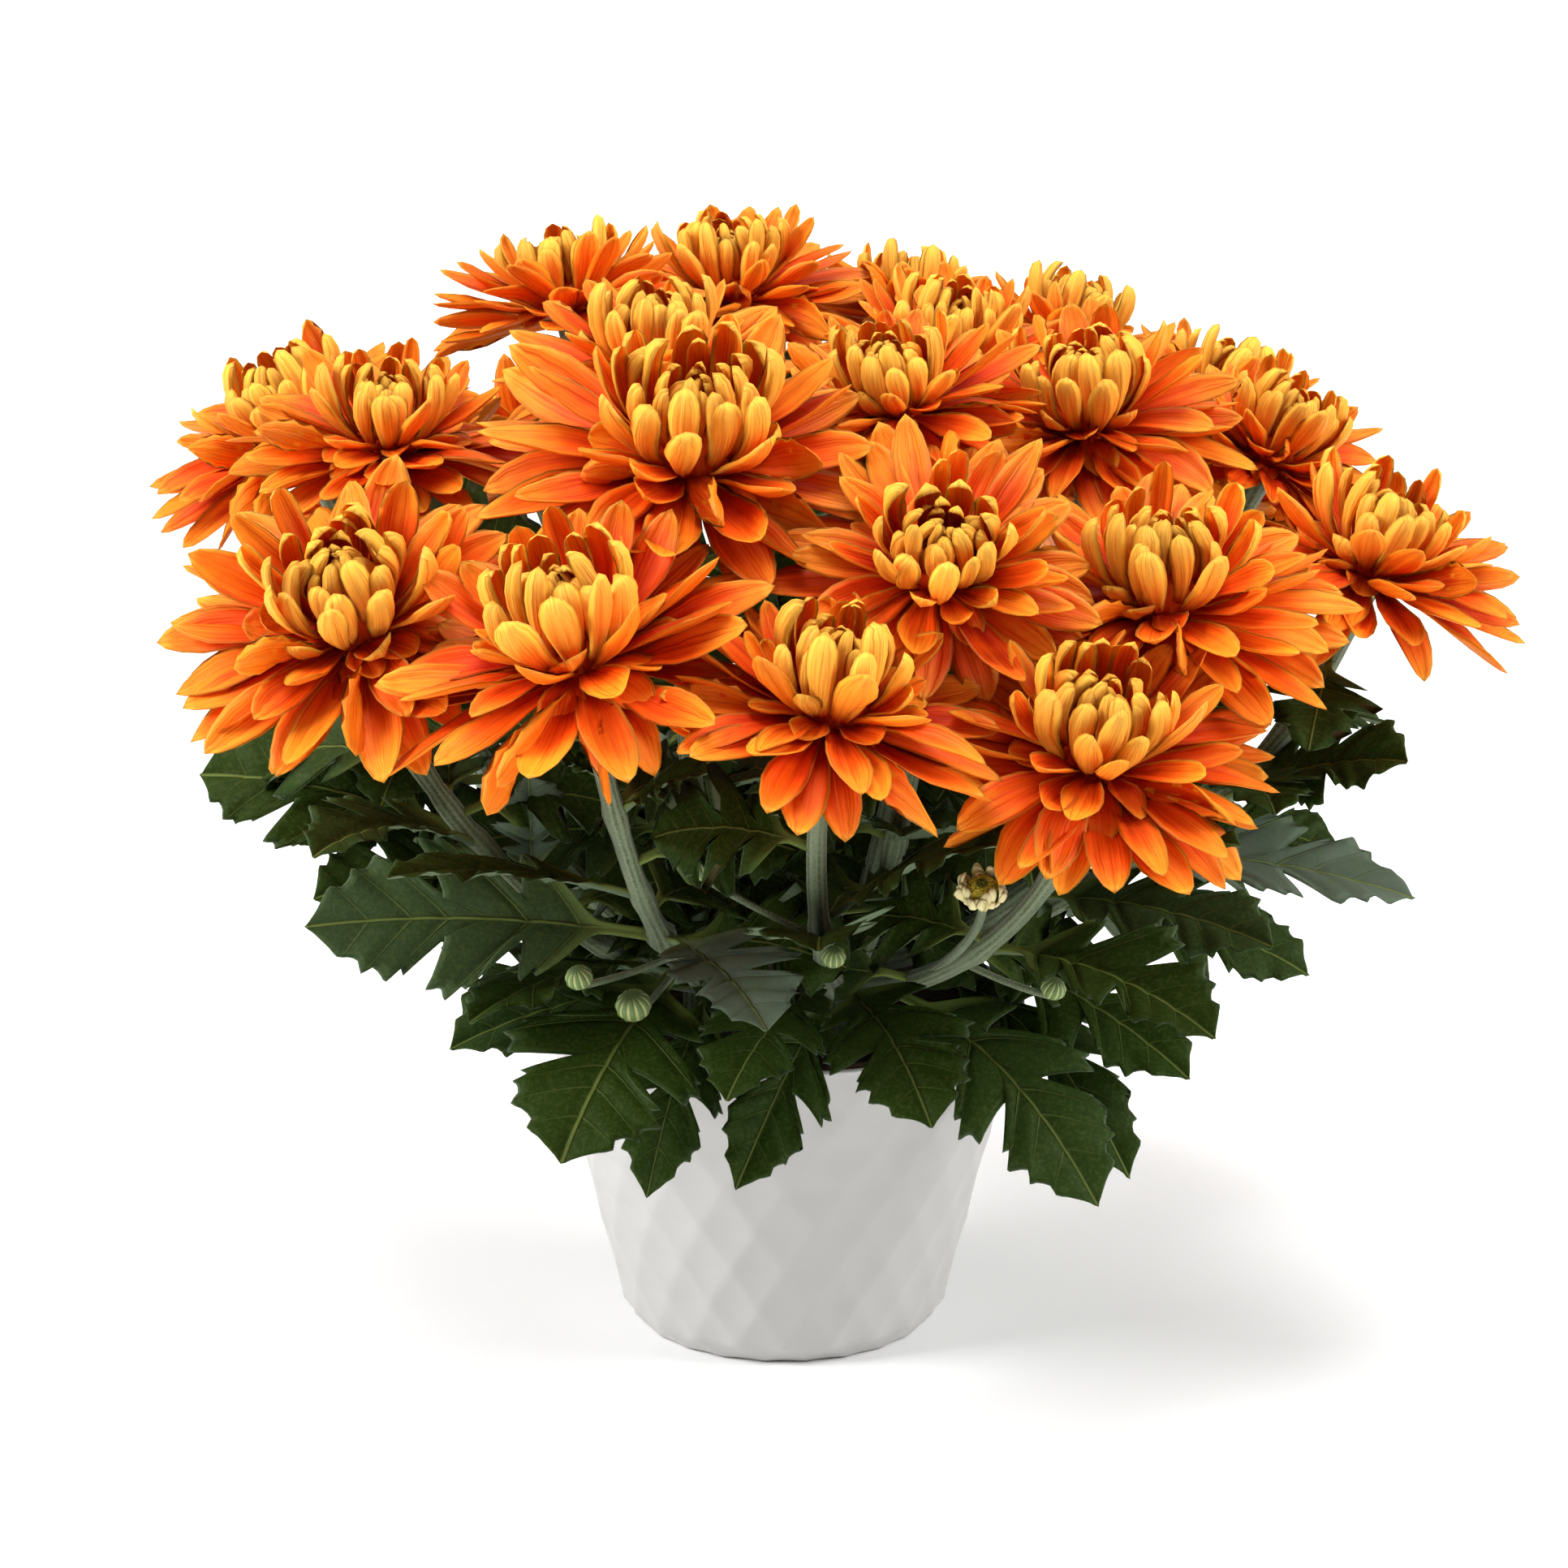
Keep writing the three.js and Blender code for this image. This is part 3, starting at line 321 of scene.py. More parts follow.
class MumStemSettings(bpy.types.PropertyGroup):
    crown_radius: length("Crown radius", "Radius of a main stem", 4 * MM)
    low_radius: length("Branch radius", "Radius of a branch where it leaves the crown", 3.0 * MM)
    high_radius: length("Neck radius", "Radius of a branch under its bloom", 2.2 * MM)
    bark: colour("Bark", "Skin of the stems", (0.15, 0.19, 0.105))
    # Painted shade: the colour of the grooves between the stems' ribs.
    flush: colour("Groove shade", "Grooves between the ribs of the stems", (0.055, 0.075, 0.02))
    bud: colour("Bud", "Scales of the buds and of the cups under the blooms", (0.12, 0.19, 0.06))
    floret: colour("Floret", "Florets of the opening bud", (0.74, 0.66, 0.34))


class MumPotSettings(bpy.types.PropertyGroup):
    height: length("Height", "Height of the cover pot", 88.5 * MM)
    rim: length("Rim radius", "Outer radius of the cover pot's rim", 65 * MM)
    foot: length("Foot radius", "Radius of the cover pot's cone at its foot", 42.5 * MM)
    wall: length("Wall", "Thickness of the cover pot's wall", 2.2 * MM)
    diamonds: IntProperty(name="Diamonds", description="Diamonds in a row", default=22, min=8)
    rows: IntProperty(name="Rows", description="Rows of half diamonds", default=7, min=2)
    glaze: colour("Glaze", "Satin glaze of the cover pot", (0.465, 0.458, 0.443))
    plastic: colour("Plastic", "Nursery pot", (0.05, 0.018, 0.010))
    peat: colour("Peat", "Peat in the nursery pot", (0.022, 0.013, 0.008))


class MumStageSettings(bpy.types.PropertyGroup):
    distance: length("Distance", "Camera to the pot's axis, along the floor", 1.1)
    height: length("Height", "Camera above the floor", 0.4277)
    pitch: FloatProperty(
        name="Pitch", description="Downward tilt of the camera", default=math.radians(14.28),
        subtype="ANGLE", unit="ROTATION",
    )
    lens: FloatProperty(
        name="Lens", description="Focal length on a 36 mm sensor", default=98.46,
        subtype="DISTANCE_CAMERA", unit="CAMERA",
    )
    floor: colour("Floor", "Floor", (0.95, 0.95, 0.95))
    sky: FloatProperty(name="Sky", description="Strength of the light from all round", default=0.30)
    key: FloatProperty(
        name="Key", description="Power of the left light, in whose terms the others are set",
        default=29, unit="POWER",
    )


class MumSettings(bpy.types.PropertyGroup):
    petal: PointerProperty(type=MumPetalSettings)
    leaf: PointerProperty(type=MumLeafSettings)
    stem: PointerProperty(type=MumStemSettings)
    pot: PointerProperty(type=MumPotSettings)
    stage: PointerProperty(type=MumStageSettings)


# ---- Vectors and curves ----


def unit(vectors):
    return vectors / np.linalg.norm(vectors, axis=-1, keepdims=True)


def around(radius, degrees, height):
    """The point at this radius and angle about Z, and at this height."""
    turn = math.radians(degrees)
    return np.array([radius * math.cos(turn), radius * math.sin(turn), height])


def leaning(tilt, toward):
    """Unit vectors that lean by tilt degrees from upright, to the side given in degrees."""
    tilt, toward = np.radians(tilt), np.radians(toward)
    flat = np.sin(tilt)
    return np.stack([flat * np.cos(toward), flat * np.sin(toward), np.cos(tilt)], -1)


def square_to(axis):
    """Two unit vectors square to an axis and to each other, the first as near to +X as can be."""
    reference = np.array([1.0, 0.0, 0.0])
    side = unit(reference - axis * (axis @ reference))
    return side, np.cross(axis, side)


def turns(count):
    """This many angles, evenly round a circle."""
    return np.arange(count) * 2 * np.pi / count


def bezier(controls, shares):
    """A Bezier curve's points: its control points weighted by the Bernstein polynomials."""
    degree = len(controls) - 1
    power = np.arange(degree + 1)
    count = np.array([math.comb(degree, k) for k in power])
    t = np.asarray(shares, float)[..., None]
    return (count * t**power * (1 - t) ** (degree - power)) @ controls


def bezier_run(controls, shares):
    """A Bezier curve's unit tangents: the curve of its control points' differences, made unit."""
    return unit(bezier(np.diff(controls, axis=0), shares))


BASE = BLOOMS[:, :3] * MM
ACROSS = BLOOMS[:, 3] * MM
AXIS = leaning(BLOOMS[:, 4], BLOOMS[:, 5])
SIZE = ACROSS / PATTERN_ACROSS
CARRIER = BLOOMS[:, 6].astype(int)
MIDDLE = BASE + AXIS * (BLOOM_MIDDLE * SIZE)[:, None]
BUD_AT = np.array(OPENING_BUD["at"]) * MM
BUD_AXIS = leaning(OPENING_BUD["tilt"], OPENING_BUD["toward"])


def branch_controls(bloom):
    """Control points of a branch: low and outward from its crown, then up the bloom's axis."""
    start = around(CROWN_REACH, CUTTINGS[CARRIER[bloom]][1], CROWN_FORK)
    end = BASE[bloom] - AXIS[bloom] * 0.3 * MM
    rise = end[2] - start[2]
    outward = (end - start) * (1, 1, 0)
    return np.array([
        start,
        start + 0.55 * outward + 0.2 * rise * UP,
        end - 0.45 * rise * AXIS[bloom],
        end,
    ])


BRANCHES = [branch_controls(i) for i in range(len(BLOOMS))]


# ---- Closed skins and pieces ----


def skin(points, ends, across, along, tint, paint=0):
    """Closed skins from grids of points, numbered (skin, row, column, xyz).

    Columns wrap round, and each skin's first and last row close in a fan on its two end points.
    across, along and tint are given for the grid; an end point takes the mean of its row.
    """
    shape = number, rows, columns = points.shape[:3]
    flat = np.concatenate([points.reshape(number, -1, 3), ends], axis=1)
    chart = np.stack(np.broadcast_arrays(across, along, np.zeros(shape))[:2], -1)
    tints = np.broadcast_to(tint, (*shape, 4))

    def with_ends(values):
        caps = values[:, [0, -1]].mean(axis=2)
        body = values.reshape(number, rows * columns, -1)
        return np.concatenate([body, caps], axis=1).reshape(-1, values.shape[-1])

    cell = np.arange(rows * columns).reshape(rows, columns)
    after = np.roll(cell, -1, axis=1)
    quads = np.stack([cell[:-1], after[:-1], after[1:], cell[1:]], -1).reshape(-1, 4)
    first = np.stack([np.full(columns, rows * columns), after[0], cell[0]], -1)
    last = np.stack([np.full(columns, rows * columns + 1), cell[-1], after[-1]], -1)
    fans = np.concatenate([first, last])
    shift = (np.arange(number) * (rows * columns + 2))[:, None, None]
    return {
        "points": flat.reshape(-1, 3),
        "quads": (quads + shift).reshape(-1, 4),
        "fans": (fans + shift).reshape(-1, 3),
        "chart": with_ends(chart),
        "tint": with_ends(tints),
        "paint": paint,
    }


def mesh_of(name, skins):
    """A smooth mesh of closed skins, with their chart as its UV map and their tint as a colour."""
    starts = np.cumsum([0] + [len(s["points"]) for s in skins])
    quads = np.concatenate([s["quads"] + at for s, at in zip(skins, starts)])
    fans = np.concatenate([s["fans"] + at for s, at in zip(skins, starts)])
    paints = np.concatenate(
        [np.full(len(s["quads"]), s["paint"]) for s in skins]
        + [np.full(len(s["fans"]), s["paint"]) for s in skins]
    )
    corners = np.concatenate([quads.ravel(), fans.ravel()]).astype(np.int32)
    loop_starts = np.concatenate(
        [np.arange(len(quads)) * 4, len(quads) * 4 + np.arange(len(fans)) * 3]
    )
    points = np.concatenate([s["points"] for s in skins])
    mesh = bpy.data.meshes.new(name)
    mesh.vertices.add(len(points))
    mesh.vertices.foreach_set("co", points.astype(np.float32).ravel())
    mesh.loops.add(len(corners))
    mesh.loops.foreach_set("vertex_index", corners)
    mesh.polygons.add(len(loop_starts))
    mesh.polygons.foreach_set("loop_start", loop_starts.astype(np.int32))
    mesh.polygons.foreach_set("material_index", paints.astype(np.int32))
    mesh.polygons.foreach_set("use_smooth", np.ones(len(loop_starts), bool))
    mesh.update(calc_edges=True)
    chart = np.concatenate([s["chart"] for s in skins]).astype(np.float32)
    mesh.uv_layers.new(name="chart").data.foreach_set("uv", chart[corners].ravel())
    tint = np.concatenate([s["tint"] for s in skins]).astype(np.float32)
    layer = mesh.color_attributes.new(name="tint", type="FLOAT_COLOR", domain="POINT")
    layer.data.foreach_set("color", tint.ravel())
    if mesh.validate():
        raise RuntimeError(f"the mesh of {name} isn't sound")
    return mesh


def add_piece(name, mesh, materials, node):
    """Puts a mesh in the scene as the piece that stands for a node of the part."""
    for material in materials:
        mesh.materials.append(material)
    piece = bpy.data.objects.new(name, mesh)
    bpy.context.scene.collection.objects.link(piece)
    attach(piece, "root")
    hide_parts(node)
    return piece


def ringed(centres, side, other, radius, tint, paint):
    """A closed skin of rings: a centre for each row of radii, and two directions across it."""
    turn = turns(radius.shape[1])
    points = (
        centres[:, None]
        + side * (radius * np.cos(turn))[..., None]
        + other * (radius * np.sin(turn))[..., None]
    )
    along = np.linspace(0, 1, len(centres))[:, None]
    return skin(points[None], centres[[0, -1]][None], turn / (2 * np.pi), along, tint, paint)


def tube(centres, runs, reference, radii, sides, tint, ribs=0.0, paint=0):
    """A closed tube: circles across a path, whose radius swells evenly in five ribs round it."""
    normal = unit(reference - runs * (runs @ reference)[:, None])
    side = np.cross(normal, runs)
    radius = np.asarray(radii)[:, None] * (1 + ribs * np.cos(5 * turns(sides)))
    return ringed(centres, side[:, None], normal[:, None], radius, tint, paint)


def turned(profile, origin, axis, sides, tint=PLAIN, paint=0, flute=None):
    """A closed shape of revolution: [radius, height] rows carried round an axis.

    flute, if given, is a function of the angle and the row that scales the radius.
    """
    profile = np.asarray(profile, float)
    radius = profile[:, 0, None] * np.ones(sides)
    if flute is not None:
        radius = radius * flute(turns(sides), np.linspace(0, 1, len(profile))[:, None])
    return ringed(origin + profile[:, 1, None] * axis, *square_to(axis), radius, tint, paint)


# ---- Petals ----

# Where along a petal its section is laid, and the angles round that section.
PETAL_ROWS = np.array([0.05, 0.2, 0.38, 0.55, 0.70, 0.84, 0.94])
PETAL_SECTION = turns(8)
# The slow wave of a petal's edges: its height in half widths, and its number along the petal.
EDGE_WAVE, EDGE_WAVES = 0.09, 1.4
# Where the crowding of a petal is tested: shares of its length, the second with its two edges.
TESTED = np.array([0.45, 0.7, 0.88, 1.0])


def petal_table(count, stages, random):
    """Every petal's numbers, outermost first: the stages read at its place, each a little varied.

    Petals follow one another by the golden angle, so none stands straight above the last. Those
    of the heart vary less in slope and twist, and more in length and width.
    """
    place = np.arange(count) / (count - 1)
    height, radius, low, high, long, half, cup = (
        np.interp(place, stages[:, 0], stages[:, k]) for k in range(1, 8)
    )
    heart = np.clip((place - 0.55) / 0.15, 0, 1)
    calm = 1 - 0.25 * heart
    opened = place < OPEN_END
    stunted = (place > STUNTED["from"]) & opened & (random.random(count) < STUNTED["chance"])
    rolled = opened & (random.random(count) < ROLLED["chance"])

    def vary(name):
        return random.uniform(-PETAL_VARIES[name], PETAL_VARIES[name], count)

    return {
        "place": place,
        "angle": np.arange(count) * GOLDEN_ANGLE + np.radians(vary("angle") * (1 + heart)),
        "height": height * MM,
        "radius": radius * MM,
        "low": np.radians(low + vary("low") * calm),
        "high": np.radians(high + vary("high") * calm - STUNTED["sink"] * stunted),
        "long": long * MM * (1 + vary("long") * (1 + heart))
        * np.where(stunted, STUNTED["length"], 1),
        "half": half * MM * (1 + vary("half") * (1 + heart)),
        "cup": cup * (1 + vary("cup")),
        "twist": np.radians(vary("twist") * calm + ROLLED["turn"] * rolled),
        "sway": vary("sway") * calm,
        "phase": random.uniform(0, 2 * np.pi, count),
        "shade": random.random(count),
        "warmth": random.random(count),
    }


def petal_arcs(table, root, out, axis, shares):
    """Middle lines of the petals and their upward normals.

    The slope turns evenly from the root's to the tip's, so each line is an arc of a circle.
    """
    low = table["low"][:, None]
    turn = (table["high"] - table["low"])[:, None]
    turn = np.where(np.abs(turn) < 1e-3, 1e-3, turn)
    slope = low + turn * shares
    radius = table["long"][:, None] / turn
    reach = radius * (np.sin(slope) - np.sin(low))
    rise = radius * (np.cos(low) - np.cos(slope))
    line = root[:, None] + reach[..., None] * out[:, None] + rise[..., None] * axis
    normal = np.cos(slope)[..., None] * axis - np.sin(slope)[..., None] * out[:, None]
    return line, normal


def petal_width(shares, place):
    """Petals' widths as shares of their widest: they swell from the claw, then round to a point.

    The incurved petals of the heart are widest further on, and blunt.
    """
    blunt = np.interp(place, HEART, (0, 1))[:, None]
    widest = 0.62 + 0.10 * blunt
    swell = np.clip(shares / widest, 0, 1)
    close = np.clip((shares - widest) / (1 - widest), 0, 1)
    claw = 0.40 + 0.05 * blunt
    rounded = (1 - close ** (1.7 + 0.5 * blunt)) ** (0.66 - 0.16 * blunt)
    return (claw + (1 - claw) * swell * swell * (3 - 2 * swell)) * rounded


def past_walls(table, root, out, axis, middle, walls):
    """How far each petal passes the planes that part its bloom from the neighbours."""
    line, _ = petal_arcs(table, root, out, axis, TESTED)
    halves = table["half"][:, None, None] * np.array([1, -1])[:, None]
    edges = line[:, 1:2] + np.cross(axis, out)[:, None] * halves
    points = np.concatenate([line, edges], axis=1) - middle
    normals, reaches = walls
    return np.clip((points @ normals.T - reaches).max(axis=(1, 2)), 0, None)


def settled(table, root, out, axis, middle, walls):
    """The petals bent up or shortened off their neighbours' side, whichever asks less of each."""
    if not len(walls[1]):
        return table
    least = np.full(len(table["low"]), np.inf)
    chosen = dict(table)
    for part, bend in PETAL_TRIES:
        lift = math.radians(bend)
        tried = dict(
            table, low=table["low"] + lift * ROOT_BEND, high=table["high"] + lift,
            long=table["long"] * part,
        )
        passed = past_walls(tried, root, out, axis, middle, walls)
        better = passed < least - 1e-6
        least = np.where(better, passed, least)
        for key in ("low", "high", "long"):
            chosen[key] = np.where(better, tried[key], chosen[key])
    return chosen


def petal_skins(table, base, axis, size, thickness, middle=None, walls=((), ()), paint=0):
    """All the petals of one bloom, each a closed skin.

    Across a petal runs a flat lens section whose keel is lower than its edges, and which narrows,
    twists and sways from root to tip along the middle line. The edges carry a slow wave.
    """
    table = dict(table)
    for key in ("height", "radius", "long", "half"):
        table[key] = table[key] * size
    side, other = square_to(axis)
    out = np.cos(table["angle"])[:, None] * side + np.sin(table["angle"])[:, None] * other
    root = base + out * table["radius"][:, None] + axis * table["height"][:, None]
    table = settled(table, root, out, axis, middle, walls)
    across = np.cross(axis, out)
    line, normal = petal_arcs(table, root, out, axis, PETAL_ROWS)
    ends, _ = petal_arcs(table, root, out, axis, np.array([0.0, 1.0]))
    sway = (table["sway"] * table["long"])[:, None, None]
    line = line + across[:, None] * sway * (PETAL_ROWS**2)[None, :, None]
    ends[:, 1] += across * sway[:, 0]
    turn = (table["twist"][:, None] * PETAL_ROWS)[..., None]
    lateral = np.cos(turn) * across[:, None] + np.sin(turn) * normal
    upward = np.cos(turn) * normal - np.sin(turn) * across[:, None]
    t, face = np.cos(PETAL_SECTION), np.sin(PETAL_SECTION)
    width = petal_width(PETAL_ROWS, table["place"])
    wide = (table["half"][:, None] * width)[..., None]
    cup = table["cup"][:, None, None]
    swing = np.sin(2 * np.pi * EDGE_WAVES * PETAL_ROWS + table["phase"][:, None])[..., None]
    wave = EDGE_WAVE * swing * t
    body = thickness / 2 * size * np.sqrt(width)[..., None] * face
    raised = wide * (wave - cup * (1 - t * t)) + body
    points = (
        line[:, :, None]
        + lateral[:, :, None] * (wide * t)[..., None]
        + upward[:, :, None] * raised[..., None]
    )
    tint = np.empty((*points.shape[:3], 4))
    tint[..., 0] = table["shade"][:, None, None]
    tint[..., 1] = table["place"][:, None, None]
    tint[..., 2] = 0.5 + 0.5 * face
    tint[..., 3] = table["warmth"][:, None, None]
    return skin(points, ends, 0.5 + 0.5 * t, PETAL_ROWS[:, None], tint, paint)


def walls_of(bloom, overlap):
    """The planes that bound a bloom's petals.

    One parts it from each neighbour, nearer to the smaller one, and one lies under its front.
    """
    normals, reaches = [], []
    for other in range(len(BLOOMS)):
        gap = MIDDLE[other] - MIDDLE[bloom]
        apart = np.linalg.norm(gap)
        if other != bloom and apart < (ACROSS[bloom] + ACROSS[other]) / 2 + overlap:
            normals.append(gap / apart)
            reaches.append(apart * ACROSS[bloom] / (ACROSS[bloom] + ACROSS[other]) + overlap / 2)
    normals.append(BELOW)
    reaches.append(DROP * ACROSS[bloom])
    return np.array(normals), np.array(reaches)


# The core of a bloom 90 mm across, [radius, height], and its tint, an inner petal's upper face.
HUB = np.array([(6.5, 2), (8.6, 5), (8.8, 9), (7.4, 12.5), (4.5, 15), (1.5, 16)]) * MM
HUB_TINT = (0.2, 0.9, 1.0, 0.3)


# ---- Leaves, stems and buds ----


def between(values):
    """The values, with one more between each two.

    It is the midpoint of a cubic through the four nearest: (9 (b + c) - (a + d)) / 16.
    """
    wide = np.concatenate([values[:1], values, values[-1:]])
    middles = (9 * (wide[1:-2] + wide[2:-1]) - (wide[:-3] + wide[3:])) / 16
    made = np.empty(2 * len(values) - 1)
    made[::2], made[1::2] = values, middles
    return made


def leaf_skin(row, settings, random, frost=None, plain=False):
    """One leaf: a thin blade carried along an arched midrib, and narrow as its petiole at first.

    A plain leaf keeps INNER_ROWS alone, and a full one has a row more between each two.
    A point of the blade lies ahead of its midrib point by a lead that grows evenly towards the
    edge, so lines of equal share run out to the teeth as the veins do. The two halves rise from
    the midrib, sink again towards the edge and ripple there.
    """
    on, part, tip, face, half, arch = row
    start = bezier(BRANCHES[on - 1], [part])[0]
    end = np.array(tip) * MM
    facing = unit(np.array(face, float))
    lift = unit(facing + UP)
    controls = np.array([start, (start + end) / 2 + lift * 2 * arch * MM, end])
    half = half * MM
    rows = LEAF_SIDE[INNER_ROWS] if plain else LEAF_SIDE
    finer, columns = (np.copy, 5) if plain else (between, 13)
    uneven = 1 + random.uniform(-LEAF_UNEVEN, LEAF_UNEVEN, (2, len(rows)))
    s = finer(rows[:, 0])[:-1, None]
    wide = np.stack([finer(rows[:, 1] * side)[:-1] for side in uneven])
    lead = finer(rows[:, 2])[:-1, None]
    t = np.concatenate([np.linspace(-1, 1, columns), np.linspace(1, -1, columns)[1:-1]])
    wide = np.where(t < 0, wide[0][:, None], wide[1][:, None])
    on_face = np.abs(t) < 1
    upper = np.arange(len(t)) < (len(t) + 2) // 2
    face_way = np.where(on_face, np.where(upper, 1, -1), 0)
    along = np.clip(s + np.abs(t) * lead, 0, 1)
    centre = bezier(controls, along)
    run = bezier_run(controls, along)
    normal = unit(facing - run * (run @ facing)[..., None])
    side = np.cross(normal, run)
    spread = t * wide * half
    blade = np.clip((s - PETIOLE_TOP) / (BLADE_START - PETIOLE_TOP), 0, 1)
    stout = settings.thickness / 2 * blade + PETIOLE_RADIUS * (1 - blade)
    body = stout * face_way * np.sqrt(1 - np.minimum(np.abs(t), 0.999) ** 4)
    phase, roll = random.uniform(0, 2 * np.pi, 2)
    droop = random.uniform(*LEAF_DROOP)
    edge = np.abs(t) ** 2 * np.minimum(wide * 1.6, 1)
    ripple = settings.ripple * edge * (
        np.sin(2 * np.pi * LEAF_WAVES[0] * s + phase + 1.3 * np.sign(t))
        + 0.5 * np.sin(2 * np.pi * LEAF_WAVES[1] * s + roll)
    )
    groove = GROOVE_DEPTH * np.exp(-((spread / GROOVE_WIDTH) ** 2))
    veins = sum(
        weight * np.exp(-(((s - at) / VEIN_WIDTH) ** 2)) for at, weight in LATERAL_VEINS
    ) * (1 - np.abs(t) ** 3)
    raised = (
        LEAF_FOLD * np.abs(spread) - droop * spread**2 / half
        + blade * (ripple - groove - VEIN_DEPTH * veins) + body
    )
    points = centre + side * spread[..., None] + normal * raised[..., None]
    tint = np.empty((*points.shape[:2], 4))
    tint[..., 0] = 0.45 * random.random() if frost is None else frost
    tint[..., 1] = np.abs(spread) / half
    tint[..., 2] = 0.5 + 0.5 * face_way
    tint[..., 3] = np.abs(t)
    ends = np.array([start, end])
    return skin(points[None], ends[None], 0.5 + 0.5 * (t * wide), s, tint[None])


# Inner leaves: where they leave the branch, the dome's middle, the room kept clear round the
# opening bud, and the slope of the view on it.
INNER_PARTS = (0.22, 0.34, 0.46, 0.60, 0.74, 0.86)
DOME_MIDDLE = np.array([5, 10, 0]) * MM
BUD_CLEAR = 13 * MM
VIEW_SLOPE = 0.25


def inner_leaves(bloom, random, settings):
    """Leaves inside the dome, which the front ones half hide: six on each branch, at random sides.

    Each reaches away from the dome's edge or along it, so that none passes the outer leaves. One
    that would hide the opening bud from the front is left out.
    """
    made = []
    outward = math.atan2(*(BASE[bloom] - DOME_MIDDLE)[[1, 0]])
    for part in INNER_PARTS:
        start = bezier(BRANCHES[bloom], [part + random.uniform(-0.05, 0.05)])[0]
        way = outward + math.pi + random.uniform(-1.9, 1.9)
        flat = np.array([math.cos(way), math.sin(way), 0])
        tip = start + flat * random.uniform(36, 52) * MM + UP * random.uniform(-14, 6) * MM
        facing = UP * 0.6 + flat * 0.25 + np.array([0, -0.7, 0])
        row = (bloom + 1, part, tip / MM, facing, random.uniform(14, 19), random.uniform(4, 7))
        leaf = leaf_skin(row, settings, random, plain=True)
        x, y, z = (leaf["points"] - BUD_AT).T
        hides = (np.abs(x) < BUD_CLEAR) & (np.abs(z - VIEW_SLOPE * y) < BUD_CLEAR) & (y < 6 * MM)
        if not hides.any():
            made.append(leaf)
    return made


# How far a branch swells at a node, and over what share of its length.
NODE_SWELL, NODE_WIDTH = 0.7 * MM, 0.025
# The materials of a cutting, by their places in its list.
STEM, BUD = 1, 2


def stem_skins(bloom, settings, random):
    """A branch and the green cup of scales under its bloom.

    The branch is a ribbed tube along its curve, swollen at each node where a leaf leaves.
    """
    controls = BRANCHES[bloom]
    shares = np.linspace(0, 1, 34)
    across = unit(np.cross(UP, (controls[3] - controls[0]) * (1, 1, 0) + (0, 1e-4, 0)))
    radii = settings.low_radius + (settings.high_radius - settings.low_radius) * shares**0.8
    for node in (row[1] for row in LEAVES if row[0] == bloom + 1):
        radii = radii + NODE_SWELL * np.exp(-(((shares - node) / NODE_WIDTH) ** 2))
    radii[-4:] += np.array([0.1, 0.4, 0.9, 1.6]) * MM
    tint = np.array([random.random(), 0, 1, 0])
    branch = tube(
        bezier(controls, shares), bezier_run(controls, shares), across, radii, 15, tint,
        ribs=0.07, paint=STEM,
    )
    size = SIZE[bloom] * MM
    profile = np.array([
        (2.2, -3.0), (3.6, -1.8), (5.4, -0.8), (7.0, 0.2), (8.0, 1.4), (8.2, 2.6), (7.2, 3.2),
    ]) * size
    cup = turned(
        profile, BASE[bloom], AXIS[bloom], 52, (random.random(), 1, 1, 0), BUD,
        lambda turn, row: 1 + 0.05 * row * np.cos(13 * turn + 2.4 * np.floor(row * 3.5)),
    )
    return [branch, cup]


def bracts(bloom, random, settings):
    """Small narrow leaves low under a bloom, where the branch nears it."""
    made = []
    controls = BRANCHES[bloom]
    for part in (0.80, 0.90):
        start = bezier(controls, [part])[0]
        run = bezier_run(controls, [part])[0]
        aside = unit(np.cross(run, random.normal(size=3)))
        tip = start + aside * 11 * MM + run * 7 * MM
        row = (bloom + 1, part, tip / MM, unit(run - aside * 0.6), 2.6, 1.5)
        made.append(leaf_skin(row, settings, random, plain=True))
    return made


def bud_skins(row, tint):
    """A closed bud on its stalk: a ball flattened on top, fluted by its upright scales."""
    on, part, at, radius = row
    centre = np.array(at, float) * MM
    start = bezier(BRANCHES[on - 1], [part])[0]
    axis = unit(unit(centre - start) * 0.35 + UP * 0.65)
    foot = centre - axis * radius * 0.8 * MM
    controls = np.array([start, (start + foot) / 2 - UP * 1.5 * MM, foot])
    stalk = stalk_skin(controls, np.array([1.0, 0.2, 0.1]), np.full(9, 0.9 * MM), 8, tint)
    angle = np.linspace(-1.35, 1.3, 11)
    profile = np.stack([np.cos(angle), np.sin(angle) * 0.86], -1) * radius * MM
    ball = turned(
        profile, centre, axis, 36, tint, BUD,
        lambda turn, level: 1 + 0.045 * np.cos(12 * turn) * np.sin(np.pi * level),
    )
    return [stalk, ball]


def stalk_skin(controls, reference, radii, sides, tint):
    """A plain tube along a Bezier curve, with one ring for each radius."""
    shares = np.linspace(0, 1, len(radii))
    line, run = bezier(controls, shares), bezier_run(controls, shares)
    return tube(line, run, reference, radii, sides, tint, paint=STEM)


def opening_stalk():
    """The stalk of the opening bud, from its branch to the cup."""
    start = bezier(BRANCHES[OPENING_BUD["on"] - 1], [OPENING_BUD["share"]])[0]
    controls = np.array([start, BUD_AT - BUD_AXIS * 16 * MM, BUD_AT - BUD_AXIS * 0.3 * MM])
    radii = np.linspace(1.3, 1.1, 14) * MM
    return stalk_skin(controls, np.array([1.0, 0, 0]), radii, 10, PLAIN)


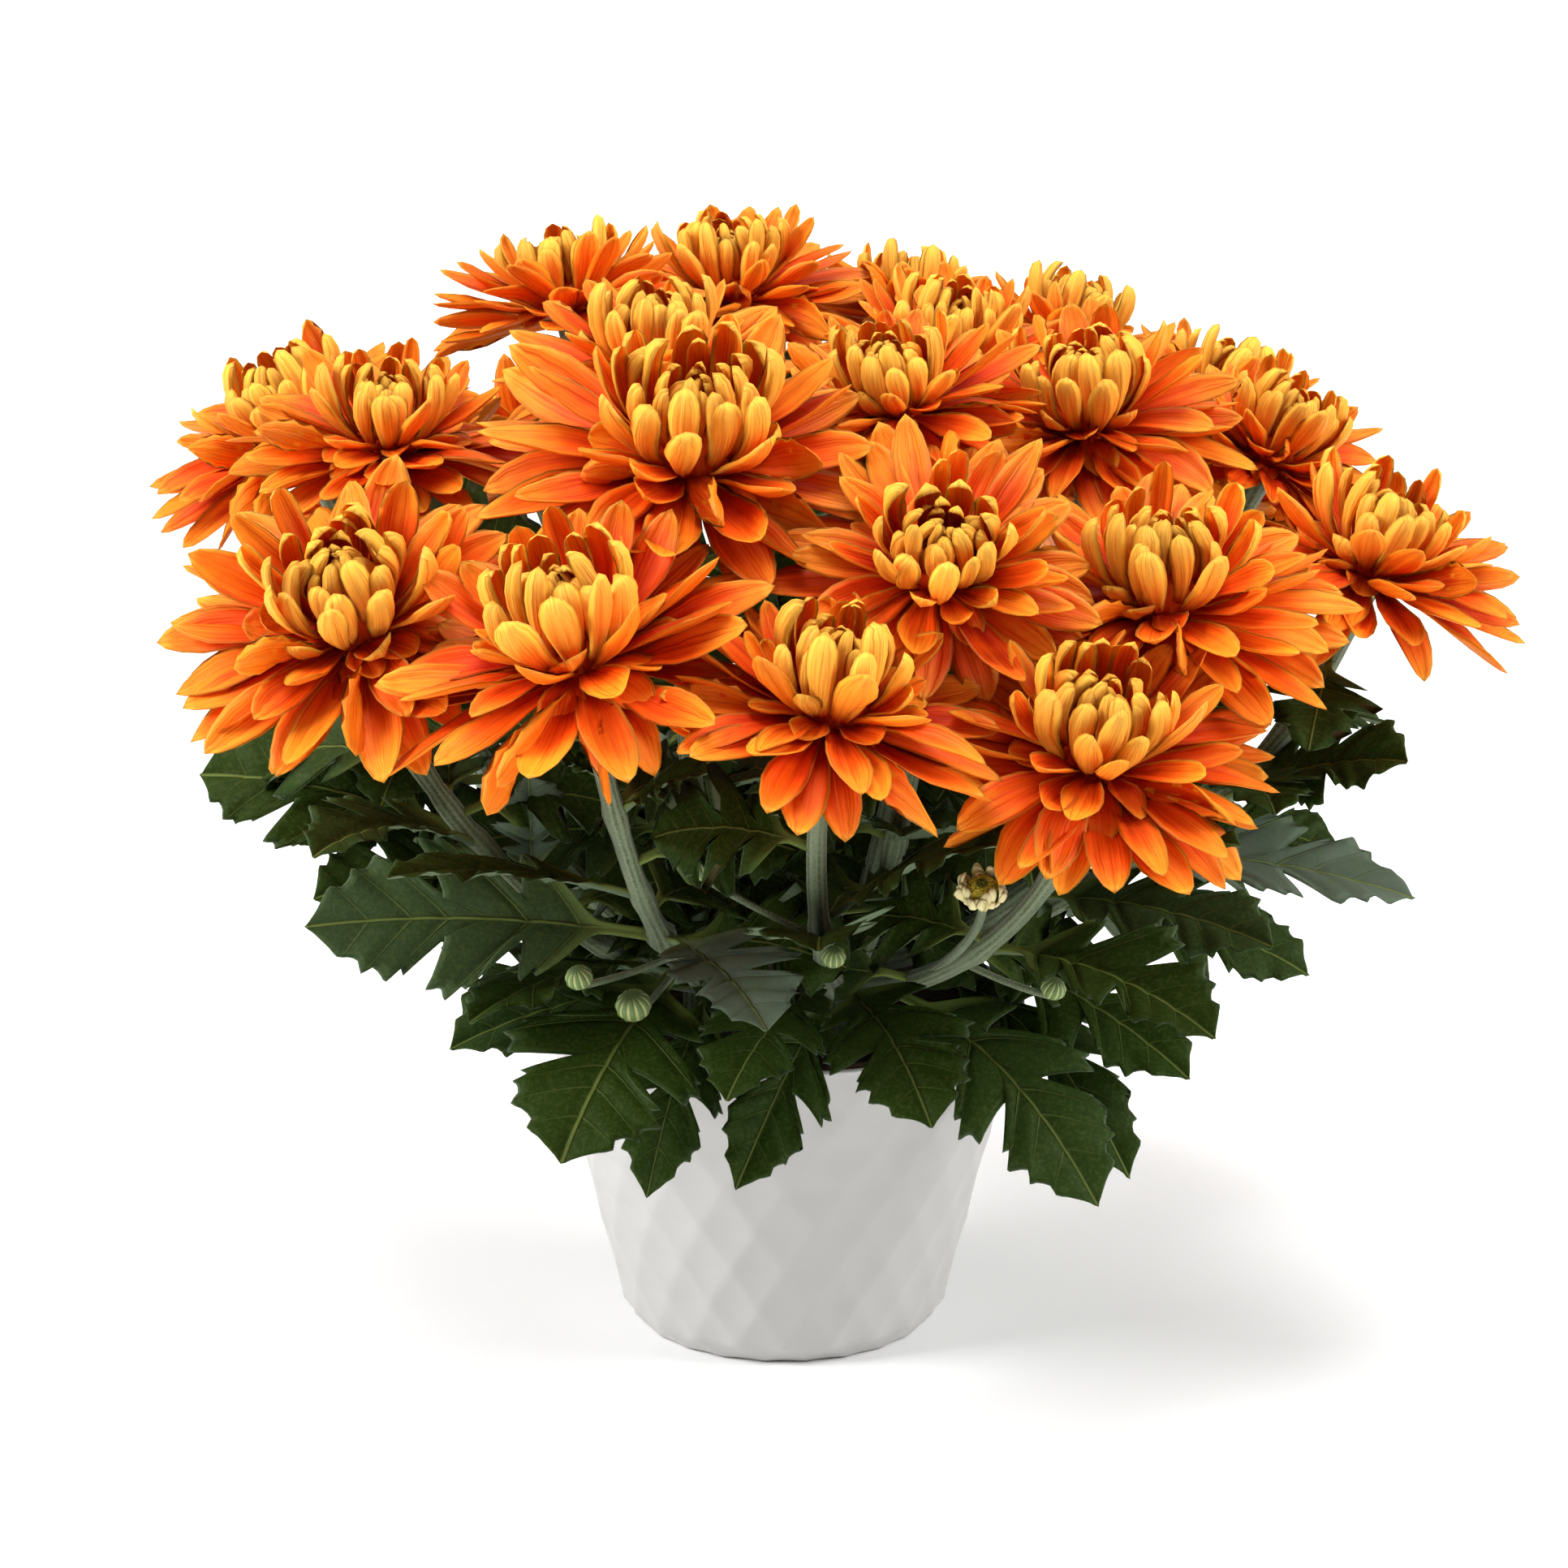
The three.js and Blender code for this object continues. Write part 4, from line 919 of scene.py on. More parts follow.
def crown_skin(toward, radius, random):
    """A main stem: an upright tube from the peat to just above where its branches part."""
    heights = np.linspace(CROWN_FOOT, CROWN_TOP, 12)
    centres = np.stack([around(CROWN_REACH, toward, z) for z in heights])
    radii = radius * np.where(heights > 96 * MM, 0.85, 1.0)
    return tube(
        centres, np.tile(UP, (12, 1)), np.array([1.0, 0, 0]), radii, 20,
        (random.random(), 0, 1, 0), ribs=0.04, paint=STEM,
    )


def cutting_skins(index, mum):
    """All that one cutting carries: its stems, with the leaves and buds of their branches."""
    random = np.random.default_rng(CUTTING_SEED + index)
    skins = [crown_skin(CUTTINGS[index][1], mum.stem.crown_radius, random)]
    for bloom in np.flatnonzero(CARRIER == index):
        skins += stem_skins(bloom, mum.stem, random)
        skins += bracts(bloom, random, mum.leaf)
        skins += inner_leaves(bloom, random, mum.leaf)
    for place, row in enumerate(LEAVES):
        if CARRIER[row[0] - 1] == index:
            skins.append(leaf_skin(row, mum.leaf, random, FROSTED.get(place)))
    for row in BUDS:
        if CARRIER[row[0] - 1] == index:
            skins += bud_skins(row, (random.random(), 0, 1, 0))
    if CARRIER[OPENING_BUD["on"] - 1] == index:
        skins.append(opening_stalk())
    return skins


# ---- Materials ----

# Linear colours that a material mixes with those of the settings.
# The next colour darkens a petal's fine veins, and it is painted shade in the grooves between its
# ribs.
PETAL_VEINS_AND_SHADE = (0.74, 0.42, 0.22)
LEAF_MOTTLE = (0.030, 0.055, 0.008)
LEAF_HAIRS = (0.12, 0.15, 0.045)
STEM_HAIRS = (0.30, 0.36, 0.25)
BUD_SEAM, BUD_TOP = (0.36, 0.41, 0.16), (0.10, 0.15, 0.05)
FLORET_ROOT, FLORET_STREAK = (0.30, 0.34, 0.08), (0.72, 0.62, 0.36)
DISC_RIM, DISC_MIDDLE, DISC_GAPS = (0.62, 0.50, 0.04), (0.06, 0.10, 0.01), (0.16, 0.17, 0.01)
GLAZE_SPECKS = (0.55, 0.53, 0.50)
DUST = (0.10, 0.06, 0.04)
PEAT_CRUMBS, PEAT_FIBRES = (0.075, 0.045, 0.026), (0.16, 0.10, 0.05)


class Value:
    """A node's output, which can be added, subtracted, multiplied and fitted to a range."""

    def __init__(self, shading, socket):
        self.shading, self.socket = shading, socket

    def __add__(self, other):
        return self.shading.maths("ADD", self, other)

    def __sub__(self, other):
        return self.shading.maths("SUBTRACT", self, other)

    def __mul__(self, other):
        return self.shading.maths("MULTIPLY", self, other)

    def __abs__(self):
        return self.shading.maths("ABSOLUTE", self)

    def waves(self, number):
        """A cosine wave, this many times from 0 to 1."""
        return self.shading.maths("COSINE", self * (2 * math.pi * number))

    def fitted(self, low, high, to_low=0.0, to_high=1.0):
        """The value carried smoothly from one range to another, and kept inside it."""
        return self.shading.add(
            "ShaderNodeMapRange", {0: self, 1: low, 2: high, 3: to_low, 4: to_high},
            interpolation_type="SMOOTHSTEP",
        )[0]


class Shading:
    """A material while its nodes are laid."""

    def __init__(self, name):
        self.material = bpy.data.materials.new(name)
        self.material.use_nodes = True
        self.tree = self.material.node_tree
        self.tree.nodes.clear()

    def add(self, kind, inputs=None, **settings):
        """The outputs of a new node, whose inputs are set to numbers or linked to values."""
        node = self.tree.nodes.new(kind)
        for key, value in settings.items():
            setattr(node, key, value)
        for key, value in (inputs or {}).items():
            if isinstance(value, Value):
                self.tree.links.new(value.socket, node.inputs[key])
            else:
                node.inputs[key].default_value = value
        return [Value(self, socket) for socket in node.outputs]

    def maths(self, operation, *values):
        return self.add("ShaderNodeMath", dict(enumerate(values)), operation=operation)[0]

    def blend(self, factor, first, second, mode="MIX"):
        first, second = (v if isinstance(v, Value) else (*v, 1) for v in (first, second))
        return self.add(
            "ShaderNodeMix", {0: factor, 6: first, 7: second}, data_type="RGBA", blend_type=mode
        )[2]

    def noise(self, vector, scale, detail=3.0, roughness=0.5):
        return self.add(
            "ShaderNodeTexNoise",
            {"Vector": vector, "Scale": scale, "Detail": detail, "Roughness": roughness},
        )[0]

    def points(self):
        """The piece's own coordinates."""
        return self.add("ShaderNodeTexCoord")[3]

    def joined(self, *values):
        return self.add("ShaderNodeCombineXYZ", dict(enumerate(values)))[0]

    def chart(self):
        """The chart's two numbers and the tint's four."""
        chart = self.add("ShaderNodeUVMap", uv_map="chart")[0]
        tint = self.add("ShaderNodeAttribute", attribute_name="tint")
        return (
            *self.add("ShaderNodeSeparateXYZ", {0: chart})[:2],
            *self.add("ShaderNodeSeparateColor", {0: tint[0]}),
            tint[3],
        )

    def toned(self, colour, value):
        """The colour with its brightness scaled by a value."""
        return self.add("ShaderNodeHueSaturation", {"Value": value, "Color": colour})[0]

    def surface(self, base, height, distance, roughness, **sockets):
        """The material, ended with its colour, a bump in metres and the shader's sockets."""
        inputs = {"Base Color": base, "Roughness": roughness}
        inputs.update({key.replace("_", " "): value for key, value in sockets.items()})
        if height is not None:
            inputs["Normal"] = self.add(
                "ShaderNodeBump", {"Strength": 1.0, "Distance": distance, "Height": height}
            )[0]
        shader = self.add("ShaderNodeBsdfPrincipled", inputs)[0]
        self.add("ShaderNodeOutputMaterial", {"Surface": shader})
        return self.material


def petal_material(settings):
    """Petal skin: red-orange roots to lighter tips above, golden below, fine long veins, and
    painted shade in the grooves.
    """
    made = Shading("petal_skin")
    u, v, shade, place, face, warmth = made.chart()
    streaks = made.noise(made.joined(u * 21.0, v * 1.1, shade * 61.0), 1.0, 3.0, 0.6)
    patches = made.noise(made.joined(u * 2.2, v * 3.0, warmth * 43.0), 1.0, 2.0)
    reach = v + (patches - 0.5) * 0.55 + (warmth - 0.5) * 0.35
    upper = made.blend(reach.fitted(0.10, 0.52), settings.root, settings.middle)
    upper = made.blend(reach.fitted(0.45, 1.02), upper, settings.tip)
    lower = made.blend(place.fitted(*HEART), settings.reverse, settings.heart)
    lower = made.blend(v.fitted(0.30, 0.0), lower, settings.middle)
    edge = made.maths("MAXIMUM", abs(u - 0.5).fitted(0.42, 0.50), v.fitted(0.90, 0.97))
    upper = made.blend(edge * 0.45, upper, settings.heart)
    colour = made.blend(face.fitted(0.35, 0.62), lower, upper)
    dark = made.blend(1.0, colour, PETAL_VEINS_AND_SHADE, mode="MULTIPLY")
    colour = made.blend(streaks.fitted(0.50, 0.30), colour, dark)
    pale = made.blend(0.30, colour, settings.heart)
    colour = made.blend(streaks.fitted(0.58, 0.78), colour, pale)
    ribs = u.waves(3) * -1.0
    # Painted shade: the grooves between the three ribs are darkened, fading out towards the tip.
    groove = ribs.fitted(-0.6, -1.0) * v.fitted(0.95, 0.6)
    colour = made.toned(made.blend(groove * 0.45, colour, dark), shade * 0.30 + 0.86)
    return made.surface(
        colour, ribs * 0.35 + streaks, 0.4 * MM, 0.50,
        Specular_IOR_Level=0.16, Subsurface_Weight=0.15, Subsurface_Radius=(0.004, 0.0015, 0.0005),
        Subsurface_Scale=0.6,
    )


def leaf_material(settings):
    """Leaf blade: dark matt green, pale veins that run to the lobes, a painted highlight along the
    edge and a pale underside.
    """
    made = Shading("leaf_blade")
    _, v, frost, spread, face, rim = made.chart()
    points = made.points()
    mottle = made.noise(points, 90.0, 4.0, 0.6)
    grain = made.noise(points, 900.0, 3.0, 0.7)
    # Frost: pale hairs together with a painted grey-blue sheen.
    colour = made.blend(frost.fitted(0.30, 1.0), settings.blade, settings.frost_and_sheen)
    colour = made.blend(mottle.fitted(0.35, 0.75) * 0.35, colour, LEAF_MOTTLE)
    veins = spread.fitted(0.030, 0.008)
    for at, weight in LATERAL_VEINS:
        off = rim * 0.003 + abs(v - at)
        veins = made.maths("MAXIMUM", veins, off.fitted(0.0065, 0.0015) * (0.8 * weight))
    veins = made.maths("MAXIMUM", veins, v.fitted(0.26, 0.14))
    colour = made.blend(veins * 0.72, colour, settings.vein)
    colour = made.blend(grain.fitted(0.42, 0.72) * 0.22, colour, LEAF_HAIRS)
    # Painted highlight: a thin pale band in the underside's colour along the blade's edge.
    colour = made.blend(rim.fitted(0.95, 1.0) * 0.8, colour, settings.under)
    colour = made.blend(face.fitted(0.45, 0.25), colour, settings.under)
    # Brighter with more frost: random tone on most leaves, painted sheen on the frosted ones.
    colour = made.toned(colour, frost * 0.40 + 0.82)
    return made.surface(colour, grain * 0.35 - veins, 0.5 * MM, 0.58, Specular_IOR_Level=0.07)


def stem_material(settings):
    """Stem skin: grey-green ribs, painted shade in the grooves broken by streaks, and fine hairs as
    grain.
    """
    made = Shading("stem_skin")
    u, v, shade, *_ = made.chart()
    points = made.points()
    patches = made.noise(points, 60.0)
    grain = made.noise(points, 1500.0, 3.0, 0.7)
    streaks = made.noise(made.joined(u * 24.0, v * 2.5, shade * 17.0), 1.0)
    # Painted shade: the grooves between the ten ribs take the darker colour, broken by random
    # streaks.
    ribs = u.waves(10) + (streaks - 0.5) * 2.5
    colour = made.blend(ribs.fitted(-0.7, 0.5), settings.flush, settings.bark)
    colour = made.blend(patches.fitted(0.45, 0.75, 0.0, 0.6), colour, settings.bark)
    colour = made.blend(grain.fitted(0.4, 0.7) * 0.35, colour, STEM_HAIRS)
    return made.surface(
        colour, grain, 0.2 * MM, 0.62, Specular_IOR_Level=0.25, Sheen_Weight=0.15
    )


def bud_material(settings):
    """Bud scales: green with pale upright seams between the scales."""
    made = Shading("bud_scales")
    u, v, *_ = made.chart()
    seam = u.waves(12).fitted(0.2, -0.9)
    colour = made.blend(seam, settings.bud, BUD_SEAM)
    colour = made.blend(v.fitted(0.75, 1.0), colour, BUD_TOP)
    return made.surface(colour, seam, -0.3 * MM, 0.5, Specular_IOR_Level=0.3)


def floret_material(settings):
    """Florets of the opening bud: pale yellow, greener at the root, with fine long veins."""
    made = Shading("floret_skin")
    u, v, shade, *_ = made.chart()
    streaks = made.noise(made.joined(u * 9.0, v, shade * 31.0), 1.0)
    colour = made.blend(v.fitted(0.0, 0.55), FLORET_ROOT, settings.floret)
    colour = made.blend(streaks.fitted(0.55, 0.75, 0.0, 0.5), colour, FLORET_STREAK)
    return made.surface(
        colour, streaks, 0.15 * MM, 0.5, Specular_IOR_Level=0.3, Subsurface_Weight=0.1,
        Subsurface_Radius=(0.003, 0.002, 0.001), Subsurface_Scale=0.5,
    )


def disc_material():
    """The opening bud's disc: greenish yellow grains round a dark green middle."""
    made = Shading("floret_disc")
    _, v, *_ = made.chart()
    grains = made.add("ShaderNodeTexVoronoi", {"Vector": made.points(), "Scale": 1500.0})[0]
    colour = made.blend(v.fitted(0.84, 0.95), DISC_RIM, DISC_MIDDLE)
    colour = made.blend(grains.fitted(0.45, 0.8), colour, DISC_GAPS)
    return made.surface(colour, grains, -0.4 * MM, 0.6, Specular_IOR_Level=0.3)


def glaze_material(settings):
    """Satin glaze: faintly uneven white with a soft gloss."""
    made = Shading("satin_glaze")
    points = made.points()
    clouds = made.noise(points, 28.0)
    specks = made.noise(points, 420.0, 4.0, 0.6)
    greyer = [0.95 * c for c in settings.glaze]
    colour = made.blend(clouds.fitted(0.3, 0.7, 0.0, 0.35), settings.glaze, greyer)
    colour = made.blend(specks.fitted(0.62, 0.75, 0.0, 0.10), colour, GLAZE_SPECKS)
    rough = clouds.fitted(0.3, 0.7, 0.30, 0.40)
    return made.surface(
        colour, specks, 0.02 * MM, rough, Specular_IOR_Level=0.45, Coat_Weight=0.15,
        Coat_Roughness=0.25,
    )


def plastic_material(settings):
    """Matt plastic of the nursery pot, with fine moulding marks and dust."""
    made = Shading("nursery_plastic")
    points = made.points()
    grain = made.noise(points, 700.0)
    dust = made.noise(points, 60.0, 5.0, 0.6)
    colour = made.blend(dust.fitted(0.5, 0.8, 0.0, 0.5), settings.plastic, DUST)
    return made.surface(colour, grain, 0.05 * MM, 0.5, Specular_IOR_Level=0.35)


def peat_material(settings):
    """Peat: dark crumbs with lighter fibres."""
    made = Shading("peat_crumb")
    points = made.points()
    crumbs = made.noise(points, 330.0, 6.0, 0.7)
    fibres = made.noise(points, 95.0, 5.0, 0.75)
    colour = made.blend(crumbs.fitted(0.45, 0.75, 0.0, 0.7), settings.peat, PEAT_CRUMBS)
    colour = made.blend(fibres.fitted(0.64, 0.72, 0.0, 0.6), colour, PEAT_FIBRES)
    return made.surface(colour, crumbs, 1.2 * MM, 0.95, Specular_IOR_Level=0.15)


def floor_material(settings):
    """The pale floor, a little uneven in tone."""
    made = Shading("pale_floor")
    fibres = made.noise(made.points(), 300.0)
    greyer = [0.985 * c for c in settings.floor]
    colour = made.blend(fibres.fitted(0.4, 0.7, 0.0, 0.3), settings.floor, greyer)
    return made.surface(colour, None, 0, 0.7, Specular_IOR_Level=0.1)


# ---- Pots and peat ----


def pot_cone(settings, height):
    return settings.foot + (settings.rim - settings.foot) * height / settings.height


# How much deeper the diamonds are than flat ones, and the width over which their edges are eased.
RELIEF, EASE = 2.1, 0.03 * MM


def cover_pot_skin(settings):
    """The faceted cover pot as one closed skin: up the outside, over the lip and down the inside.

    Each row of half diamonds holds flat triangles, alternately standing on their base and on their
    point. Against the cone, a flat triangle lies deeper by S(1 - w - 4x^2) or S(w - 4x^2), where w
    is the share of the row's height, x is the distance from the triangle's middle in diamonds, and
    S is how far a chord of one diamond lies inside its circle. The deeper of the two shows, eased
    where they meet, and RELIEF deepens both, so the diamonds are a little hollow.
    """
    lowest, inset, floor = 5.4 * MM, 3.2 * MM, 3 * MM
    rise = (settings.height - lowest) / settings.rows
    lip = settings.wall / 2
    top = settings.height - lip
    bottom = np.array([0.0, 0.25, 0.7, 1.6, 2.8, 4.1]) * MM
    heights = np.concatenate([bottom, np.linspace(lowest, top, settings.rows * 9)])
    columns = settings.diamonds * 12
    turn = turns(columns)
    band = np.where(heights < lowest, -1, np.floor((heights - lowest) / rise))
    start = np.where(heights < lowest, 0, lowest + band * rise)
    tall = np.where(heights < lowest, lowest, rise)
    w = ((heights - start) / tall)[:, None]

    def offset(shift):
        return (turn * settings.diamonds / (2 * np.pi) - shift + 0.5) % 1 - 0.5

    upright = offset((band[:, None] + 2) / 2)
    hanging = offset((band[:, None] + 1) / 2)
    cone = pot_cone(settings, heights)
    foot = settings.foot - inset
    low_cone = foot + (pot_cone(settings, lowest) - foot) * heights / lowest
    cone = np.where(heights < lowest, low_cone, cone)
    rounded = 0.6 * MM * np.clip(1 - heights / (0.7 * MM), 0, 1) ** 2
    sagitta = (cone * (1 - math.cos(math.pi / settings.diamonds)))[:, None]
    a, b = sagitta * (1 - w - 4 * upright**2), sagitta * (w - 4 * hanging**2)
    depth = RELIEF * (a + b + np.sqrt((a - b) ** 2 + EASE**2)) / 2
    outside = (cone - rounded)[:, None] - depth
    over = np.linspace(0, math.pi, 9)[1:-1]
    middle = settings.rim - 0.35 * MM - lip
    lip_radius = middle + lip * np.cos(over)
    lip_height = top + lip * np.sin(over)
    levels = np.array([70, 50, 30, 12, 5.5, 3.6]) * MM
    inner_height = np.array([settings.height - 2.2 * MM, *levels, floor])
    inner_radius = pot_cone(settings, inner_height) - settings.wall - 0.5 * MM
    inner_radius[-2:] -= np.array([0.7, 2.4]) * MM
    radius = np.concatenate([
        outside,
        np.repeat(lip_radius[:, None], columns, 1),
        np.repeat(inner_radius[:, None], columns, 1),
    ])
    height = np.concatenate([heights, lip_height, inner_height])[:, None]
    points = np.stack(
        [radius * np.cos(turn), radius * np.sin(turn), height * np.ones(columns)], -1
    )
    ends = np.array([[0, 0, 0], [0, 0, floor]], float)
    return skin(points[None], ends[None], turn / (2 * np.pi), height, PLAIN)


def nursery_pot_skin():
    """The nursery pot: a plain cone with a stepped rim, up the outside and down the inside."""
    profile = np.array([
        (37.2, 3.3), (37.6, 3.6), (44.0, 26.0), (52.0, 55.0), (59.3, 81.5), (60.6, 82.2),
        (61.2, 88.2), (60.9, 88.9), (60.2, 88.9), (59.9, 88.2), (58.6, 80.0), (50.7, 55.0),
        (42.7, 26.0), (36.6, 4.9), (36.0, 4.6),
    ]) * MM
    return turned(profile, np.zeros(3), UP, 96)


# The level of the peat, in millimetres.
PEAT_TOP = 80.6


def peat_skin(random):
    """The peat: a plug in the nursery pot, whose crumbly top is a sum of random sine waves."""
    rings = np.linspace(58.2, 1.5, 26)
    wall = [(35.9, 5.2), (42.0, 26.0), (50.0, 55.0), (57.6, 79.4)]
    profile = np.array(wall + [(ring, PEAT_TOP) for ring in rings]) * MM
    made = turned(profile, np.zeros(3), UP, 120)
    points = made["points"]
    top = points[:, 2] > (PEAT_TOP - 0.6) * MM
    flat = points[top, :2] / MM
    count = 60
    waves = random.normal(size=(count, 2)) * np.linspace(0.08, 1.1, count)[:, None]
    phases = random.uniform(0, 2 * np.pi, count)
    heights = (np.sin(flat @ waves.T + phases) / np.linspace(1, 3.2, count)).sum(axis=1)
    points[top, 2] += np.clip(0.16 * heights, -1.0, 1.0) * MM
    return made


def drain_holes():
    """Four short drums, to be cut from the nursery pot's floor."""
    radius, half, reach, level = 4 * MM, 3 * MM, 24 * MM, 4 * MM
    profile = [(radius, -half), (radius, half)]
    return [turned(profile, around(reach, 90 * i, level), UP, 24) for i in range(4)]


# ---- Operators ----


class MUM_OT_petals(bpy.types.Operator):
    """Builds the 25 double blooms"""

    bl_idname = "mum.petals"
    bl_label = "Blooms"

    def execute(self, context):
        settings = context.scene.mum.petal
        material = petal_material(settings)
        for bloom in range(len(BLOOMS)):
            random = np.random.default_rng(BLOOM_SEED + bloom)
            table = petal_table(settings.count, PETAL_STAGES, random)
            table["angle"] += bloom * GOLDEN_ANGLE
            base, axis, size = BASE[bloom], AXIS[bloom], SIZE[bloom]
            petals = petal_skins(
                table, base, axis, size, settings.thickness, MIDDLE[bloom],
                walls_of(bloom, settings.overlap),
            )
            hub = turned(HUB * size, base, axis, 20, HUB_TINT)
            name = f"bloom_{bloom + 1:02d}"
            mesh = mesh_of(name, [petals, hub])
            add_piece("petals_" + name[-2:], mesh, [material], name)
        return {"FINISHED"}


class MUM_OT_cuttings(bpy.types.Operator):
    """Builds the five cuttings with their stems, leaves and buds"""

    bl_idname = "mum.cuttings"
    bl_label = "Cuttings"

    def execute(self, context):
        mum = context.scene.mum
        materials = [leaf_material(mum.leaf), stem_material(mum.stem), bud_material(mum.stem)]
        for index, (name, _) in enumerate(CUTTINGS):
            mesh = mesh_of(name, cutting_skins(index, mum))
            add_piece("stems_" + name[8:], mesh, materials, name)
        return {"FINISHED"}


class MUM_OT_opening_bud(bpy.types.Operator):
    """Builds the side bud that is opening"""

    bl_idname = "mum.opening_bud"
    bl_label = "Opening bud"

    def execute(self, context):
        settings = context.scene.mum.stem
        table = petal_table(FLORETS, FLORET_STAGES, np.random.default_rng(BUD_SEED))
        table["high"] = np.minimum(table["high"], math.radians(FLORET_CURL))
        florets = petal_skins(table, BUD_AT, BUD_AXIS, 1.0, 0.7 * MM)
        profile = np.array([(1.2, -0.4), (2.6, 0.2), (3.5, 1.6), (3.8, 3.0), (3.4, 3.6)]) * MM
        cup = turned(
            profile, BUD_AT, BUD_AXIS, 48, paint=1,
            flute=lambda turn, row: 1 + 0.06 * row * np.cos(12 * turn),
        )
        angle = np.linspace(-0.9, 1.4, 9)
        dome = np.stack([3.9 * np.cos(angle), 4.1 + 2.4 * np.sin(angle)], -1) * MM
        disc = turned(dome, BUD_AT, BUD_AXIS, 32, paint=2)
        materials = [floret_material(settings), bud_material(settings), disc_material()]
        mesh = mesh_of("opening_florets", [florets, cup, disc])
        add_piece("opening_florets", mesh, materials, "opening_bud")
        return {"FINISHED"}


class MUM_OT_cover_pot(bpy.types.Operator):
    """Builds the diamond-faceted cover pot"""

    bl_idname = "mum.cover_pot"
    bl_label = "Cover pot"

    def execute(self, context):
        settings = context.scene.mum.pot
        mesh = mesh_of("faceted_pot", [cover_pot_skin(settings)])
        add_piece("faceted_pot", mesh, [glaze_material(settings)], "cover_pot")
        return {"FINISHED"}


# A nursery pot with fewer faces than this was lost in the cutting of its holes.
LEAST_FACES = 1000


class MUM_OT_nursery_pot(bpy.types.Operator):
    """Builds the nursery pot with its drain holes, and the peat in it"""

    bl_idname = "mum.nursery_pot"
    bl_label = "Nursery pot and peat"

    def execute(self, context):
        settings = context.scene.mum.pot
        plastic = plastic_material(settings)
        mesh = mesh_of("grower_pot", [nursery_pot_skin()])
        piece = add_piece("grower_pot", mesh, [plastic], "nursery_pot")
        drums = bpy.data.objects.new("drums", mesh_of("drums", drain_holes()))
        context.scene.collection.objects.link(drums)
        cut = piece.modifiers.new("drain holes", "BOOLEAN")
        cut.operation, cut.object, cut.solver = "DIFFERENCE", drums, "EXACT"
        context.view_layer.update()
        evaluated = piece.evaluated_get(context.evaluated_depsgraph_get())
        made = bpy.data.meshes.new_from_object(evaluated)
        piece.modifiers.clear()
        piece.data = made
        drums_mesh = drums.data
        bpy.data.objects.remove(drums)
        bpy.data.meshes.remove(drums_mesh)
        bpy.data.meshes.remove(mesh)
        if len(made.polygons) < LEAST_FACES:
            raise RuntimeError("the drain holes weren't cut")
        peat = mesh_of("peat_plug", [peat_skin(np.random.default_rng(PEAT_SEED))])
        add_piece("peat_plug", peat, [peat_material(settings)], "peat")
        return {"FINISHED"}


# The floor: half its width and its level, in metres, a hair below the pot's foot.
FLOOR_REACH, FLOOR_TOP = 9.0, -0.0002
SQUARE = ((-1, -1), (1, -1), (1, 1), (-1, 1))
# Lights: where each stands and what it aims at, in metres, its width, its spread in degrees, and
# its power as a share of the key setting.
LIGHTS = (
    ("left", (-1.3, -0.45, 0.95), (0, 0, 0.15), 0.8, 180, 1.0),
    ("right", (1.35, -0.3, 0.85), (0, 0, 0.15), 0.8, 180, 0.7),
    ("top", (0.0, -0.1, 1.75), (0, 0, 0.15), 1.1, 180, 1.0),
    ("far_floor", (0.0, 4.2, 3.0), (0, 4.19, 0), 4.5, 100, 6),
)


